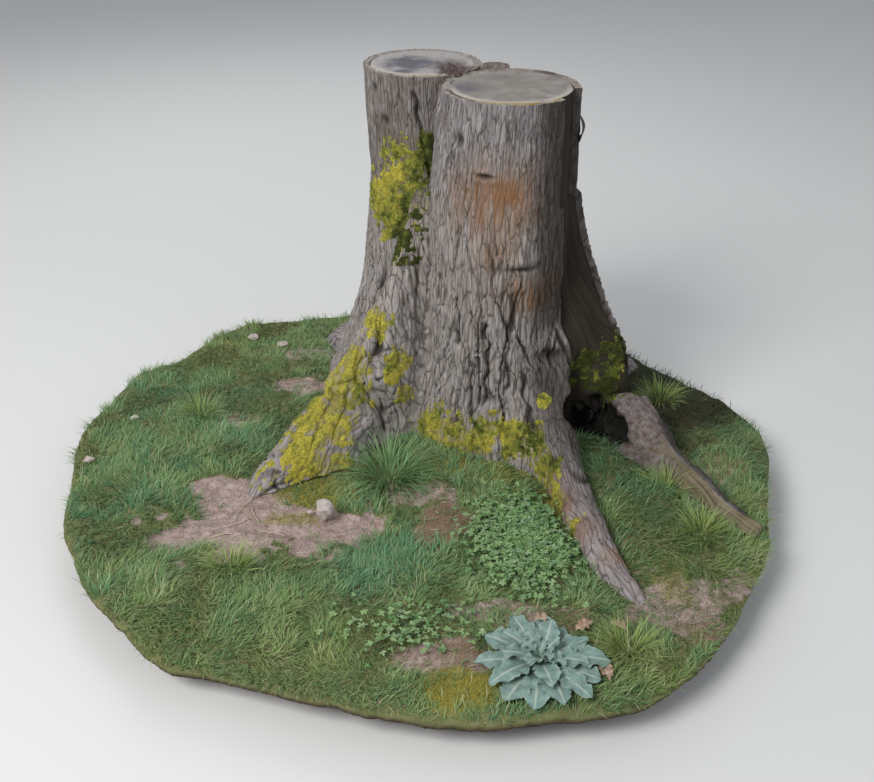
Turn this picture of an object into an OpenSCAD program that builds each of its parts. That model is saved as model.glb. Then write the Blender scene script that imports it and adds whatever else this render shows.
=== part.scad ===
// Sawn twin-stemmed tree stump, standing on a cut-out disc of turf.
// The origin is the middle of the flat underside. +Z is up and -Y is the front.

/* [Stump] */
// Height of both sawn faces above the underside
top_z = 1040; // [960:10:1200]
// Height where the trunk parts into two stems
fork_z = 770; // [700:10:820]
// Radius of the right stem at its sawn face, bark included
right_r = 170; // [150:5:180]
// Radius of the left stem at its sawn face, bark included
left_r = 154; // [135:5:160]
// Thickness of the bark
bark_t = 18; // [10:1:24]

/* [Ground] */
// Height of the ground at the rim
ground_z = 90; // [70:5:120]
// How far the ground rises where it meets the trunk
mound_h = 40; // [20:5:60]
// Thickness of the soil at its cut edge
edge_t = 12; // [8:1:30]
// How far the underside stands back from the cut edge
undercut = 90; // [80:5:130]
// Depth of the socket that the trunk stands in
socket_d = 50; // [30:5:60]
// Thickness of the turf mats
turf_t = 14; // [8:1:20]

/* [Growths] */
// Thickness of the moss cushions
moss_t = 9; // [5:1:14]
// Length of the longest leaf of the rosette
leaf_len = 150; // [110:5:165]
// Number of leaves in the rosette
leaf_count = 14; // [10:2:16]
// Length of the blades in the tussock
blade_len = 150; // [110:5:180]

/* [Hidden] */

// Gap left between neighbouring solids
gap = 0.6;
// Steps round the trunk, round a stem and along the rim
trunk_steps = 60;
stem_steps = 44;
rim_steps = 72;

// Axis of the trunk, and the middle of each stem at the fork and at its sawn face
trunk_c = [112, 371];
right_fork = [218, 266];
right_top = [232, 252];
left_fork = [22, 464];
left_top = [12, 489];

// Where bark is missing from the right side, as directions from each axis
trunk_bark_span = [-20, 320];
right_bark_span = [-8, 316];

// Cut edge of the disc: direction and distance from the origin
rim = [
    [0, 930], [11, 970], [24, 940], [37, 900], [60, 905], [85, 915], [107, 935], [121, 1030],
    [132, 1005], [141, 950], [149, 1000], [162, 965], [180, 915], [207, 890], [232, 895],
    [241, 850], [262, 850], [281, 900], [296, 950], [310, 950], [326, 910], [345, 905], [360, 930]
];

// Buttresses: direction at the foot and the turn it makes in each metre of height, spread, reach at
// the foot, the height it fades over, and the furthest that it stands from the axis
buttresses = [
    [219, 4, 25, 640, 445, 450],
    [-25, 8, 19, 690, 690, 520],
    [-62, 100, 15, 560, 600, 470],
    [20, -20, 24, 470, 420, 430],
    [134, 0, 30, 500, 400, 440]
];
// The hollow under the right flank: direction, spread, height and depth
hollow = [-43, 10, 110, 95];

// ---- Small helpers ----

function mix(a, b, t) = a + (b - a) * t;
function bell(x, w) = exp(-(x / w) * (x / w));
function dir(a) = [cos(a), sin(a)];
function wrap(a) = a - 360 * floor((a + 180) / 360);
function full_turn(a) = a - 360 * floor(a / 360);
function flat(p) = [p.x, p.y];
function at(p, z) = [p.x, p.y, z];
function total(v, i = 0) = i < len(v) ? v[i] + total(v, i + 1) : 0;
function bump(a, b, c) = sin(a * 37 + c * 71) * cos(b * 53 - c * 29);

// ---- Ground ----

function rim_r(a) = lookup(full_turn(a), rim) + 5 * sin(a * 11) + 4 * sin(a * 17 + 40);
function rim_at(a) = rim_r(a) * dir(a);
function ground(p) = ground_z + mound_h * bell(norm(flat(p) - trunk_c), 470)
    + 5 * sin(0.9 * p.x + 30) * cos(1.1 * p.y) + 3 * sin(1.9 * p.x - 1.3 * p.y);
// A place on the ground: direction a, and t from 0 at the trunk's foot to 1 at the cut edge
function ground_at(a, t) = mix(trunk_c + (foot_r(a) + gap) * dir(a), rim_at(a), t);

// ---- Trunk and stems ----

// Distance from the origin to the far side of a circle of radius r about k, along direction a
function exit_r(a, k, r) =
    let (u = k * dir(a), q = r * r - k * k + u * u) q > 0 ? max(0, u + sqrt(q)) : 0;
// Height above the foot of the trunk
function rise(z) = max(0, z - ground_z - mound_h);
function right_girth(z) = right_r + 18 + 55 * exp(-rise(z) / 130);
function left_girth(z) = left_r - 25 + 168 * exp(-rise(z) / 290);
function buttress_r(b, a, z) =
    let (middle = b[0] + b[1] * min(rise(z), 500) / 1000)
    min(b[5], b[3] * exp(-rise(z) / b[4])) * bell(wrap(a - middle), b[2]);
function hollow_r(a, z) = hollow[3] * bell(wrap(a - hollow[0]), hollow[1]) * bell(rise(z), hollow[2]);
// The trunk's outer radius: two merged stems and the buttresses, blended into one outline
function trunk_r(a, z) =
    let (parts = concat(
        [exit_r(a, right_fork - trunk_c, right_girth(z)), exit_r(a, left_fork - trunk_c, left_girth(z))],
        [for (b = buttresses) buttress_r(b, a, z)]))
    pow(total([for (p = parts) pow(p, 7)]), 1 / 7) - hollow_r(a, z) + 3 * bump(a / 30, z / 90, 1);
function foot_r(a) = trunk_r(a, ground_z);

// A stem's outer radius: round, but flattened where it faces the other stem
function stem_r(a, r, facing, room) =
    let (c = cos(a - facing)) (c > 0.05 ? min(r, room / c) : r) + 2.5 * bump(a / 33, r / 20, 2);
function stem_side(right, a, z) =
    let (
        t = (z - fork_z) / (top_z - fork_z),
        c1 = mix(right_fork, right_top, t),
        c2 = mix(left_fork, left_top, t),
        apart = norm(c1 - c2),
        facing = atan2(c2.y - c1.y, c2.x - c1.x),
        share = right_r / (right_r + left_r),
        r = right ? mix(right_girth(fork_z), right_r, t) : mix(left_girth(fork_z), left_r, t)
    )
    right ? stem_r(a, r, facing, share * apart - 4) : stem_r(a, r, facing + 180, (1 - share) * apart - 4);
function stem_mid(right, z) =
    let (t = (z - fork_z) / (top_z - fork_z))
    right ? mix(right_fork, right_top, t) : mix(left_fork, left_top, t);

// ---- Solids from rings of points ----

// Joins rings that run anticlockwise seen from the last one, and closes both ends on their middles
module loft(rings) {
    n = len(rings[0]);
    m = len(rings);
    low = total3(rings[0]) / n;
    high = total3(rings[m - 1]) / n;
    points = concat([for (r = rings) for (p = r) p], [low, high]);
    sides = [for (j = [0 : m - 2]) for (i = [0 : n - 1]) let (k = (i + 1) % n) each [
        [j * n + i, (j + 1) * n + i, (j + 1) * n + k],
        [j * n + i, (j + 1) * n + k, j * n + k]
    ]];
    ends = [for (i = [0 : n - 1]) let (k = (i + 1) % n) each [
        [n * m, i, k],
        [n * m + 1, (m - 1) * n + k, (m - 1) * n + i]
    ]];
    polyhedron(points, concat(sides, ends));
}
function total3(v, i = 0) = i < len(v) ? v[i] + total3(v, i + 1) : [0, 0, 0];

// Joins slices of one section round a full turn, with no ends
module hoop(slices) {
    n = len(slices[0]);
    m = len(slices);
    faces = [for (j = [0 : m - 1]) for (i = [0 : n - 1])
        let (k = (i + 1) % n, l = (j + 1) % m) each [
        [j * n + i, l * n + i, l * n + k],
        [j * n + i, l * n + k, j * n + k]
    ]];
    polyhedron([for (s = slices) for (p = s) p], faces);
}

// Section of a skin: up its outer side and back down its inner side
function skin_slice(outer, inner) = concat(outer, [for (i = [len(inner) - 1 : -1 : 0]) inner[i]]);

// ---- Ground pieces ----

module soil_bed() color("#5b4636") {
    angles = [for (i = [0 : rim_steps - 1]) i * 360 / rim_steps];
    seat_z = ground_z + mound_h - socket_d - turf_t;
    steps = [0.02, 0.25, 0.5, 0.75];
    loft(concat(
        [[for (a = angles) at(rim_at(a) - undercut * dir(a), 0)]],
        [[for (a = angles) at(rim_at(a), ground(rim_at(a)) - edge_t)]],
        [[for (a = angles) at(rim_at(a), ground(rim_at(a)))]],
        [for (i = [3 : -1 : 0]) [for (a = angles) let (p = ground_at(a, steps[i])) at(p, ground(p))]],
        [[for (a = angles) at(ground_at(a, 0), ground(ground_at(a, 0)))]],
        [[for (a = angles) at(ground_at(a, 0), seat_z)]]
    ));
}

// A turf mat between two lines that run from the foot to the rim: directions at the foot and at the
// rim for each line, and the stretch from t0 to t1 that it covers
module turf(first, last, t0, t1, shade) color(shade) {
    cols = max(4, round(abs(last[1] - first[1]) / 9));
    rows = 5;
    slices = [for (i = [0 : cols])
        let (w = i / cols, line = [for (j = [0 : rows])
            let (t = mix(t0, t1, j / rows), a = mix(mix(first[0], last[0], w), mix(first[1], last[1], w), t))
            ground_at(a, t)])
        skin_slice(
            [for (p = line) at(p, ground(p) + turf_t + 3 * bump(p.x / 40, p.y / 40, 3))],
            [for (p = line) at(p, ground(p) + gap)])];
    strip(slices);
}

// Joins slices in a row and closes the first and last, which are sections of a skin
module strip(slices) {
    n = len(slices[0]);
    m = len(slices);
    sides = [for (j = [0 : m - 2]) for (i = [0 : n - 1]) let (k = (i + 1) % n) each [
        [j * n + i, (j + 1) * n + i, (j + 1) * n + k],
        [j * n + i, (j + 1) * n + k, j * n + k]
    ]];
    h = n / 2;
    ends = [for (i = [0 : h - 2]) each [
        [n - 1 - i, i, i + 1],
        [n - 1 - i, i + 1, n - 2 - i],
        [(m - 1) * n + i + 1, (m - 1) * n + i, m * n - 1 - i],
        [m * n - 2 - i, (m - 1) * n + i + 1, m * n - 1 - i]
    ]];
    polyhedron([for (s = slices) for (p = s) p], concat(sides, ends));
}

module turf_left() turf([146, 122], [210, 203], 0.04, 0.985, "#4c7a33");
module turf_front_left() turf([229, 214], [262, 262], 0.5, 0.985, "#4f8034");
module turf_front() turf([262.5, 262.5], [291, 302], 0.14, 0.985, "#5c8a3a");
module turf_right() turf([314, 313], [327, 336], 0.04, 0.985, "#3f7a3a");
module turf_back() turf([28, 40], [121, 106], 0.04, 0.985, "#49702f");
module turf_back_right() turf([-12, -12], [6, 22], 0.04, 0.985, "#56602f");

// ---- Wood and bark ----

function heights(z0, z1, n) = [for (i = [0 : n]) mix(z0, z1, i / n)];
function trunk_point(a, z, inset) = at(trunk_c + (trunk_r(a, max(z, ground_z)) - inset) * dir(a), z);
function stem_point(right, a, z, inset) =
    at(stem_mid(right, z) + (stem_side(right, a, z) - inset) * dir(a), z);
// Trunk heights, closer together near the ground where the buttresses spread
trunk_levels = concat(
    [ground_z + mound_h - socket_d - turf_t + gap, ground_z + 45, ground_z + 90, ground_z + 140],
    heights(ground_z + 200, fork_z, 6)
);

module trunk_wood() color("#8a7a5c")
    loft([for (z = trunk_levels)
        [for (i = [0 : trunk_steps - 1]) trunk_point(i * 360 / trunk_steps, z, bark_t + gap)]]);

module trunk_bark() color("#7d756c") {
    a0 = trunk_bark_span[0];
    a1 = trunk_bark_span[1];
    n = round((a1 - a0) * trunk_steps / 360);
    strip([for (i = [0 : n])
        let (a = mix(a0, a1, i / n))
        skin_slice(
            [for (z = trunk_levels) trunk_point(a, z, bark_t)],
            [for (z = trunk_levels) trunk_point(a, z, 0)])]);
}

module stem_wood(right, shade) color(shade)
    loft([for (z = heights(fork_z + gap, top_z, 3))
        [for (i = [0 : stem_steps - 1]) stem_point(right, i * 360 / stem_steps, z, bark_t + gap)]]);
module left_stem_wood() stem_wood(false, "#c2b28e");
module right_stem_wood() stem_wood(true, "#cdbf9c");

function stem_bark_slice(right, a) =
    let (zs = heights(fork_z + gap, top_z, 3))
    skin_slice(
        [for (z = zs) stem_point(right, a, z, bark_t)],
        [for (z = zs) stem_point(right, a, z, 0)]);
module left_stem_bark() color("#857d75")
    hoop([for (i = [0 : stem_steps - 1]) stem_bark_slice(false, i * 360 / stem_steps)]);
module right_stem_bark() color("#8d857c") {
    a0 = right_bark_span[0];
    a1 = right_bark_span[1];
    n = round((a1 - a0) * stem_steps / 360);
    strip([for (i = [0 : n]) stem_bark_slice(true, mix(a0, a1, i / n))]);
}

// A curled flake of bark on the edge where the bark ends
module bark_flap() color("#4a4038") {
    levels = heights(top_z - 130, top_z - 70, 4);
    loft([for (i = [0 : 4])
        let (z = levels[i], lift = 12 * sin(180 * i / 4) + 4)
        [for (q = [[-5, lift], [-1, lift + 4], [3, lift], [3, gap], [-5, gap]])
            stem_point(true, q[0] + right_bark_span[0] + 4, z, -q[1])]]);
}

// A lump of bark that has grown up in the fork, level with the sawn faces
module fork_knob() color("#6d645c") {
    mid = mix(right_top, left_top, 0.52) + 118 * dir(44);
    loft([for (i = [0 : 4])
        let (z = mix(top_z - 150, top_z, i / 4), r = 26 + 14 * sin(36 * i))
        [for (a = [0 : 30 : 330]) at(mid + (r + 3 * bump(a / 40, z / 50, 5)) * dir(a), z)]]);
}

// ---- Roots ----

// Each root: middle of its crest, height of the crest above the ground, and half width
left_run = [
    [-235, 90, 150, 120], [-300, 25, 112, 92], [-362, -38, 66, 62], [-410, -92, 30, 36], [-445, -130, 9, 14]
];
front_run = [
    [368, 10, 150, 66], [380, -75, 105, 58], [405, -188, 74, 52], [436, -345, 52, 44],
    [474, -455, 32, 34], [518, -533, 16, 22], [545, -578, 6, 10]
];
right_run = [
    [592, 118, 165, 78], [628, 60, 120, 64], [658, 0, 80, 48], [710, -98, 56, 38],
    [772, -212, 38, 30], [836, -278, 22, 22]
];
back_left_run = [[-185, 655, 90, 85], [-245, 722, 60, 62], [-305, 780, 34, 40], [-350, 822, 12, 16]];
back_right_run = [[515, 492, 105, 82], [600, 535, 66, 60], [685, 575, 34, 40], [745, 605, 12, 18]];
// Rings between two points of a run
run_steps = 3;

// A smooth curve through the points of a run
function run_knot(run, j) = run[max(0, min(j, len(run) - 1))];
function run_at(run, t) =
    let (j = min(floor(t), len(run) - 2), u = t - j, p0 = run_knot(run, j - 1), p1 = run_knot(run, j),
        p2 = run_knot(run, j + 1), p3 = run_knot(run, j + 2))
    0.5 * (2 * p1 + (p2 - p0) * u + (2 * p0 - 5 * p1 + 4 * p2 - p3) * u * u
        + (3 * p1 - p0 - 3 * p2 + p3) * u * u * u);
function run_end(run) = len(run) - 1;

// Sideways direction at place t of a run
function side_at(run, t) =
    let (d = flat(run_at(run, min(t + 0.1, run_end(run)))) - flat(run_at(run, max(t - 0.1, 0))))
    [-d.y, d.x] / norm(d);
// Place on a root: s from -1 on its right to 1 on its left, and lift above its skin
function root_point(run, t, s, lift) =
    let (
        c = run_at(run, t),
        p = flat(c) + s * (c[3] + lift) * side_at(run, t),
        crown = (c[2] + lift) * pow(max(0, 1 - s * s), 0.6)
    ) at(p, ground(p) + gap + crown * (1 + 0.06 * bump(t, s * 3, 6)));
// The end at the trunk follows the bark, so that the root stands against it
function root_seat(run, s) =
    let (q = root_point(run, 0, s, 0), d = flat(q) - trunk_c, a = atan2(d.y, d.x))
    at(trunk_c + (trunk_r(a, q.z) + gap) * dir(a), q.z);

arch = [for (i = [0 : 10]) 1 - i / 5];
module root(run)
    loft(concat(
        [[for (s = arch) root_seat(run, s)]],
        [for (i = [0 : run_end(run) * run_steps]) [for (s = arch) root_point(run, i / run_steps, s, 0)]]));
module left_root() color("#81766a") root(left_run);
module front_root() color("#7f766e") root(front_run);
module right_root() color("#97805a") root(right_run);
module back_left_root() color("#796f65") root(back_left_run);
module back_right_root() color("#6f655a") root(back_right_run);

// A skin over part of a root, from side s0 to side s1 and from point j0 to point j1 of its run
module root_skin(run, j0, j1, s0, s1, thick, shade) color(shade) {
    sides = [for (i = [0 : 5]) mix(s0, s1, i / 5)];
    strip([for (t = [j0 : 1 / run_steps : j1 + 0.01]) skin_slice(
        [for (s = sides) root_point(run, t, s, gap)],
        [for (s = sides) root_point(run, t, s, thick)])]);
}
module right_root_bark() root_skin(right_run, 1, 4 + 1 / run_steps, 0.1, 0.85, 9, "#463c34");
module left_root_moss() root_skin(left_run, 0, 3, -0.2, 0.75, moss_t, "#8d8a2c");

// ---- Moss on the trunk ----

// A cushion on the bark between two directions and two heights, which leans by lean degrees as it rises
module trunk_moss(a0, a1, z0, z1, lean, shade) color(shade) {
    zs = heights(z0, z1, 5);
    strip([for (i = [0 : 6])
        let (w = i / 6)
        skin_slice(
            [for (z = zs) trunk_point(mix(a0, a1, w) + lean * (z - z0) / (z1 - z0), z, -gap)],
            [for (z = zs) trunk_point(mix(a0, a1, w) + lean * (z - z0) / (z1 - z0), z, -moss_t)])]);
}
// The same on a stem
module stem_moss(right, a0, a1, z0, z1, lean, shade) color(shade) {
    zs = heights(z0, z1, 4);
    strip([for (i = [0 : 6])
        skin_slice(
            [for (z = zs) stem_point(right, mix(a0, a1, i / 6) + lean * (z - z0) / (z1 - z0), z, -gap)],
            [for (z = zs) stem_point(right, mix(a0, a1, i / 6) + lean * (z - z0) / (z1 - z0), z, -moss_t)])]);
}
module flank_moss() {
    trunk_moss(196, 232, fork_z - 170, fork_z - 4, 3, "#7f8428");
    stem_moss(false, 222, 290, fork_z + 2, fork_z + 110, 8, "#7f8428");
}
module foot_moss() trunk_moss(250, 292, ground_z + 70, ground_z + 125, 0, "#7d7a2e");
module hollow_moss() trunk_moss(-42, -26, ground_z + 165, ground_z + 265, 2, "#4d5a22");

// ---- Plants ----

// A flat blade that narrows to both ends and arches: it would come back down at 1.2 times its span
module blade(length, half_w, rise_h, thick, span, n = 5) {
    loft([for (i = [0 : n])
        let (t = i / n, w = max(0.6, half_w * sin(12 + 160 * t)), z = rise_h * sin(150 * t * length / span))
        [[length * t, -w, z], [length * t, w, z], [length * t, 0, z + thick]]]);
}

rosette_at = [265, -735];
module on_ground(p, lift = 0) translate(at(p, ground(p) + turf_t + 4 + lift)) children();

// The leaves lie round the crown, in two tiers
module rosette_leaves() color("#7d9a8c")
    on_ground(rosette_at)
        for (i = [0 : leaf_count - 1])
            rotate([0, 0, i * 360 / leaf_count + 4 * (i % 3)])
                translate([13, 0, 1 + 6 * (i % 2)])
                    blade(leaf_len * (1 - 0.08 * (i % 3)) - 13, 17, 16, 3, leaf_len);
module rosette_crown() color("#8fa58a")
    on_ground(rosette_at) {
        cylinder(h = 9, r = 12, $fn = 32);
        translate([0, 0, 9]) cylinder(h = 7, r1 = 12, r2 = 6, $fn = 32);
    }

// A fan of arching grass blades
module tuft(length, count, turn_by) {
    for (i = [0 : count - 1])
        rotate([0, 0, turn_by + i * 360 / count])
            translate([5, 0, 0])
                rotate([0, -38 - 14 * (i % 3), 0])
                    blade(length * (1 - 0.15 * (i % 3)), 2.4, -length * 0.12, 2, length, 4);
}
module tussock() color("#5f8f66")
    on_ground([-75, -75]) tuft(blade_len, 14, 0);
// Middle of each tuft and the length of its blades
tufts = [
    [455, -690, 95], [640, -110, 110], [690, -300, 100], [700, 330, 80], [-420, -430, 70], [-620, 250, 80]
];
module grass_tufts() color("#5c9438")
    for (i = [0 : len(tufts) - 1])
        on_ground(tufts[i]) tuft(tufts[i][2], 8, 20 * i);

// Small round-leaved plants, spread by the golden angle over an oval patch
module clover_patch() color("#7fa583")
    for (i = [1 : 18])
        let (p = [262, -330] + 34 * sqrt(i) * [0.75 * cos(137.5 * i), 1.2 * sin(137.5 * i)])
            on_ground(p)
                cylinder(h = 14 + 4 * (i % 3), r = 9 + i % 4, $fn = 16);

// ---- Loose pieces ----

// A stone with uneven sides
module stone(w, d, h, seed) {
    loft([for (i = [0 : 4])
        let (t = i / 4, r = 0.45 + 0.55 * sin(18 + 150 * t))
        [for (a = [0 : 36 : 324])
            [(w / 2) * r * (1 + 0.12 * bump(a / 40, i, seed)) * cos(a),
             (d / 2) * r * (1 + 0.12 * bump(a / 50, i, seed + 1)) * sin(a), h * t]]]);
}
module on_soil(p) translate(at(p, ground(p) + gap)) children();
module large_stone() color("#a89689") on_soil([-226, -222]) stone(52, 44, 62, 1);
// Middle of each stone and its width
stones = [[-262, -200, 20], [-535, 715, 42], [-430, 650, 34], [-800, 225, 30], [-872, 15, 34]];
module small_stones() color("#9c9086")
    for (i = [0 : len(stones) - 1])
        let (s = stones[i])
            translate([0, 0, i == 0 ? 0 : turf_t + 4])
                on_soil(s) stone(s[2], s[2] * 0.8, s[2] * 0.5, i + 2);

// Middle of the base of each leaf and the way it points
leaves = [[352, -640, 30], [400, -790, 100], [300, -600, 200], [425, -620, 320]];
module dry_leaves() color("#a5825c")
    for (l = leaves)
        on_ground(l, 2) rotate([0, 0, l[2]]) blade(48, 13, 7, 1.6, 48);

// Middle of each straw, the way it points and its length
straws = [
    [-430, -180, 70, 110], [-455, -240, 30, 95], [-390, -215, 120, 90], [-480, -300, 10, 80], [-350, -285, 150, 85]
];
module straw() color("#b9a98a")
    for (s = straws)
        translate(at(s, ground(s) + 12)) rotate([0, 0, s[2]]) rotate([0, 90, 0])
            translate([0, 0, -s[3] / 2]) cylinder(h = s[3], r = 1.6, $fn = 14);

soil_bed();
turf_left();
turf_front_left();
turf_front();
turf_right();
turf_back();
turf_back_right();
trunk_wood();
left_stem_wood();
right_stem_wood();
trunk_bark();
left_stem_bark();
right_stem_bark();
bark_flap();
fork_knob();
left_root();
front_root();
right_root();
right_root_bark();
back_left_root();
back_right_root();
flank_moss();
left_root_moss();
foot_moss();
hollow_moss();
rosette_leaves();
rosette_crown();
tussock();
grass_tufts();
clover_patch();
large_stone();
small_stones();
dry_leaves();
straw();
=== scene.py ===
import math

import bpy
import numpy as np
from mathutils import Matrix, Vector
from mathutils.bvhtree import BVHTree
from mathutils.geometry import delaunay_2d_cdt


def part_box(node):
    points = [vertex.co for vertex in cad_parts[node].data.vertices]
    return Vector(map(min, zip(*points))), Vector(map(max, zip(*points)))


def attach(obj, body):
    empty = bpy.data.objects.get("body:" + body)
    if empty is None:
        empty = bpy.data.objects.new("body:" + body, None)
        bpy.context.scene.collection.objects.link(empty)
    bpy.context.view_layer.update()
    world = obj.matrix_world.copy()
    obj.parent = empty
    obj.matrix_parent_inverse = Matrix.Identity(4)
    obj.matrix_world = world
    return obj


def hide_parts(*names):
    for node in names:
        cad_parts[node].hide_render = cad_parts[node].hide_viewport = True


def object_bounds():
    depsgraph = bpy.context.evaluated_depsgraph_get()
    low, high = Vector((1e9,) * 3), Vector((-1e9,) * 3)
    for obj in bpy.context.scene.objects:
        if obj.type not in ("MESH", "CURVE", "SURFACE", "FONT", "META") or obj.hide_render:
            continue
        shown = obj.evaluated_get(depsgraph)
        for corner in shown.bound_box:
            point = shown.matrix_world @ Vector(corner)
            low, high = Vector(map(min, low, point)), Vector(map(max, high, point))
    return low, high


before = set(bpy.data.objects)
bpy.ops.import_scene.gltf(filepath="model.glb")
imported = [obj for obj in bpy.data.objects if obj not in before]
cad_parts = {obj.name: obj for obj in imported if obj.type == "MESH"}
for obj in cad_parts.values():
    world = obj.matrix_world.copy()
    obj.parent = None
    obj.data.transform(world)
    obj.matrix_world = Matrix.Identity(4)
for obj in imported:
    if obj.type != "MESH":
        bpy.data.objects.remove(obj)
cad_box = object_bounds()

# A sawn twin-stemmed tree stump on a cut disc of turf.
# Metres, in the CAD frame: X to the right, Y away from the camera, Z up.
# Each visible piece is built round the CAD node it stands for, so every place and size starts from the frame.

MM = 0.001
TAU = 2 * math.pi


# ---------------------------------------------------------------- reading the frame

def corners_of(mesh):
    """A mesh's points as an array."""
    co = np.zeros(len(mesh.vertices) * 3)
    mesh.vertices.foreach_get("co", co)
    return co.reshape(-1, 3)


def node_mesh(node):
    """A CAD node's corners as an array and its faces as a list."""
    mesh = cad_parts[node].data
    return corners_of(mesh), [tuple(p.vertices) for p in mesh.polygons]


def box_of(node):
    """Low corner, high corner, middle and half sizes of a node's box."""
    low, high = (np.array(c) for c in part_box(node))
    return low, high, (low + high) / 2, (high - low) / 2


def join(parts):
    """Several (points, faces) pairs as one."""
    points = []
    faces = []
    start = 0
    for p, f in parts:
        points.append(np.asarray(p, float))
        faces += [tuple(i + start for i in face) for face in f]
        start += len(p)
    return np.vstack(points), faces


def gather(parts):
    """Several (points, faces, values) as one."""
    points, faces = join([part[:2] for part in parts])
    return points, faces, {key: np.concatenate([part[2][key] for part in parts]) for key in parts[0][2]}


def islands(node):
    """The points of each separate solid of a node, in order along X then Y."""
    points, faces = node_mesh(node)
    same = np.unique(np.round(points, 6), axis=0, return_inverse=True)[1].ravel()
    joins = np.array([(same[face[0]], same[i]) for face in faces for i in face[1:]])
    label = shells(same.max() + 1, joins)[same]
    found = [points[label == k] for k in np.unique(label)]
    return sorted(found, key=lambda g: tuple(np.round(g.mean(0), 3)))


def lie_of(solid):
    """Middle, direction in plan and length of a long thin solid."""
    middle = solid.mean(0)
    d = (solid - middle)[:, :2]
    along = np.linalg.svd(d)[2][0]
    return middle, along, float(np.ptp(d @ along))


def section_middle(node, z):
    """Middle, in plan, of a node's corners at one height."""
    points, _ = node_mesh(node)
    ring = points[np.abs(points[:, 2] - z) < 3 * MM]
    return (ring[:, :2].max(0) + ring[:, :2].min(0)) / 2


GROUND_NODES = ["soil_bed", "turf_left", "turf_front_left", "turf_front", "turf_right", "turf_back",
                "turf_back_right"]
TURF_NODES = GROUND_NODES[1:]
STUMP_NODES = ["trunk_wood", "left_stem_wood", "right_stem_wood", "trunk_bark", "left_stem_bark",
               "right_stem_bark", "fork_knob", "left_root", "front_root", "right_root",
               "right_root_bark", "back_left_root", "back_right_root"]
ROOT_NODES = ["left_root", "front_root", "right_root", "right_root_bark", "back_left_root",
              "back_right_root"]
BARE_NODES = ["trunk_wood", "left_stem_wood", "right_stem_wood"]

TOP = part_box("right_stem_wood")[1].z
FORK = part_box("trunk_wood")[1].z
RIGHT_LOW = section_middle("right_stem_wood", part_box("right_stem_wood")[0].z)
RIGHT_TOP = section_middle("right_stem_wood", TOP)
LEFT_LOW = section_middle("left_stem_wood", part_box("left_stem_wood")[0].z)
LEFT_TOP = section_middle("left_stem_wood", TOP)
RIGHT = (RIGHT_LOW, RIGHT_TOP)
LEFT = (LEFT_LOW, LEFT_TOP)
TRUNK_MID = (RIGHT_LOW + LEFT_LOW) / 2
TO_RIGHT = (RIGHT_LOW - LEFT_LOW) / np.linalg.norm(RIGHT_LOW - LEFT_LOW)
STEM_R = float(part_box("right_stem_bark")[1].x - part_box("right_stem_bark")[0].x) / 2


# ---------------------------------------------------------------- repeatable noise

def lattice(a, b, c, seed):
    """A number from 0 to 1 for each whole-number place."""
    h = (a * 374761393 + b * 668265263 + c * 1103515245 + seed * 362437) & 0xFFFFFFFF
    h = ((h ^ (h >> 13)) * 1274126177) & 0xFFFFFFFF
    h = ((h ^ (h >> 15)) * 461845907) & 0xFFFFFFFF
    return ((h ^ (h >> 16)) & 0xFFFFFF) / 0xFFFFFF


def noise(points, seed):
    """Smooth noise from -1 to 1."""
    base = np.floor(points).astype(np.int64)
    f = points - base
    f = f * f * f * (f * (f * 6 - 15) + 10)
    total = np.zeros(len(points))
    for corner in range(8):
        step = ((corner >> 2) & 1, (corner >> 1) & 1, corner & 1)
        weight = np.ones(len(points))
        for axis in range(3):
            weight *= f[:, axis] if step[axis] else 1 - f[:, axis]
        total += weight * lattice(base[:, 0] + step[0], base[:, 1] + step[1], base[:, 2] + step[2], seed)
    return 2 * total - 1


def fbm(points, seed, octaves=4, gain=0.5):
    """Layers of noise, each twice as fine as the one before it."""
    total = np.zeros(len(points))
    size = 1.0
    for k in range(octaves):
        total += size * noise(points * 2**k + 17.3 * k, seed + k)
        size *= gain
    return total


def smooth(low, high, x):
    """0 below low, 1 above high and an even S between them."""
    t = np.clip((x - low) / (high - low), 0, 1)
    return t * t * (3 - 2 * t)


def bell(distance, width):
    """1 at a distance of 0, falling to 0 over a few widths."""
    return np.exp(-((distance / width) ** 2))


def polar(d):
    """Direction in radians and length of each plan vector."""
    return np.arctan2(d[:, 1], d[:, 0]), np.hypot(d[:, 0], d[:, 1])


def heading(turn):
    """Level unit vectors in each direction (radians)."""
    return np.column_stack([np.cos(turn), np.sin(turn), np.zeros(len(turn))])


def each_pair(a, b):
    """Every pairing of two lines of numbers, as two flat arrays."""
    return (g.ravel() for g in np.meshgrid(a, b, indexing="ij"))


def off_by(angle, middle):
    """Degrees from one direction to another, the short way."""
    return (angle - middle + 180) % 360 - 180


def oval(xy, middle, sizes):
    """Distance from the middle of an oval, 1 at its edge."""
    return np.hypot((xy[:, 0] - middle[0]) / sizes[0], (xy[:, 1] - middle[1]) / sizes[1])


def plane_noise(xy, scale, seed, octaves=3):
    """Noise over the ground, with its largest features scale metres across."""
    points = np.column_stack([xy / scale, np.full(len(xy), 0.5)])
    return fbm(points, seed, octaves)


# ---------------------------------------------------------------- making objects

def make(name, points, faces, material, values=None):
    """A mesh object, with a named value for each point in values. material may be a list."""
    mesh = bpy.data.meshes.new(name)
    mesh.from_pydata(np.asarray(points, float).tolist(), [],
                     faces if isinstance(faces, list) else faces.tolist())
    for key, v in (values or {}).items():
        v = np.asarray(v, np.float32)
        kind = "FLOAT" if v.ndim == 1 else "FLOAT_VECTOR"
        slot = mesh.attributes.new(key, kind, "POINT")
        slot.data.foreach_set("value" if v.ndim == 1 else "vector", v.ravel())
    mesh.polygons.foreach_set("use_smooth", np.full(len(mesh.polygons), True))
    for m in material if isinstance(material, list) else [material]:
        mesh.materials.append(m)
    mesh.update()
    obj = bpy.data.objects.new(name, mesh)
    bpy.context.scene.collection.objects.link(obj)
    return obj


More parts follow.
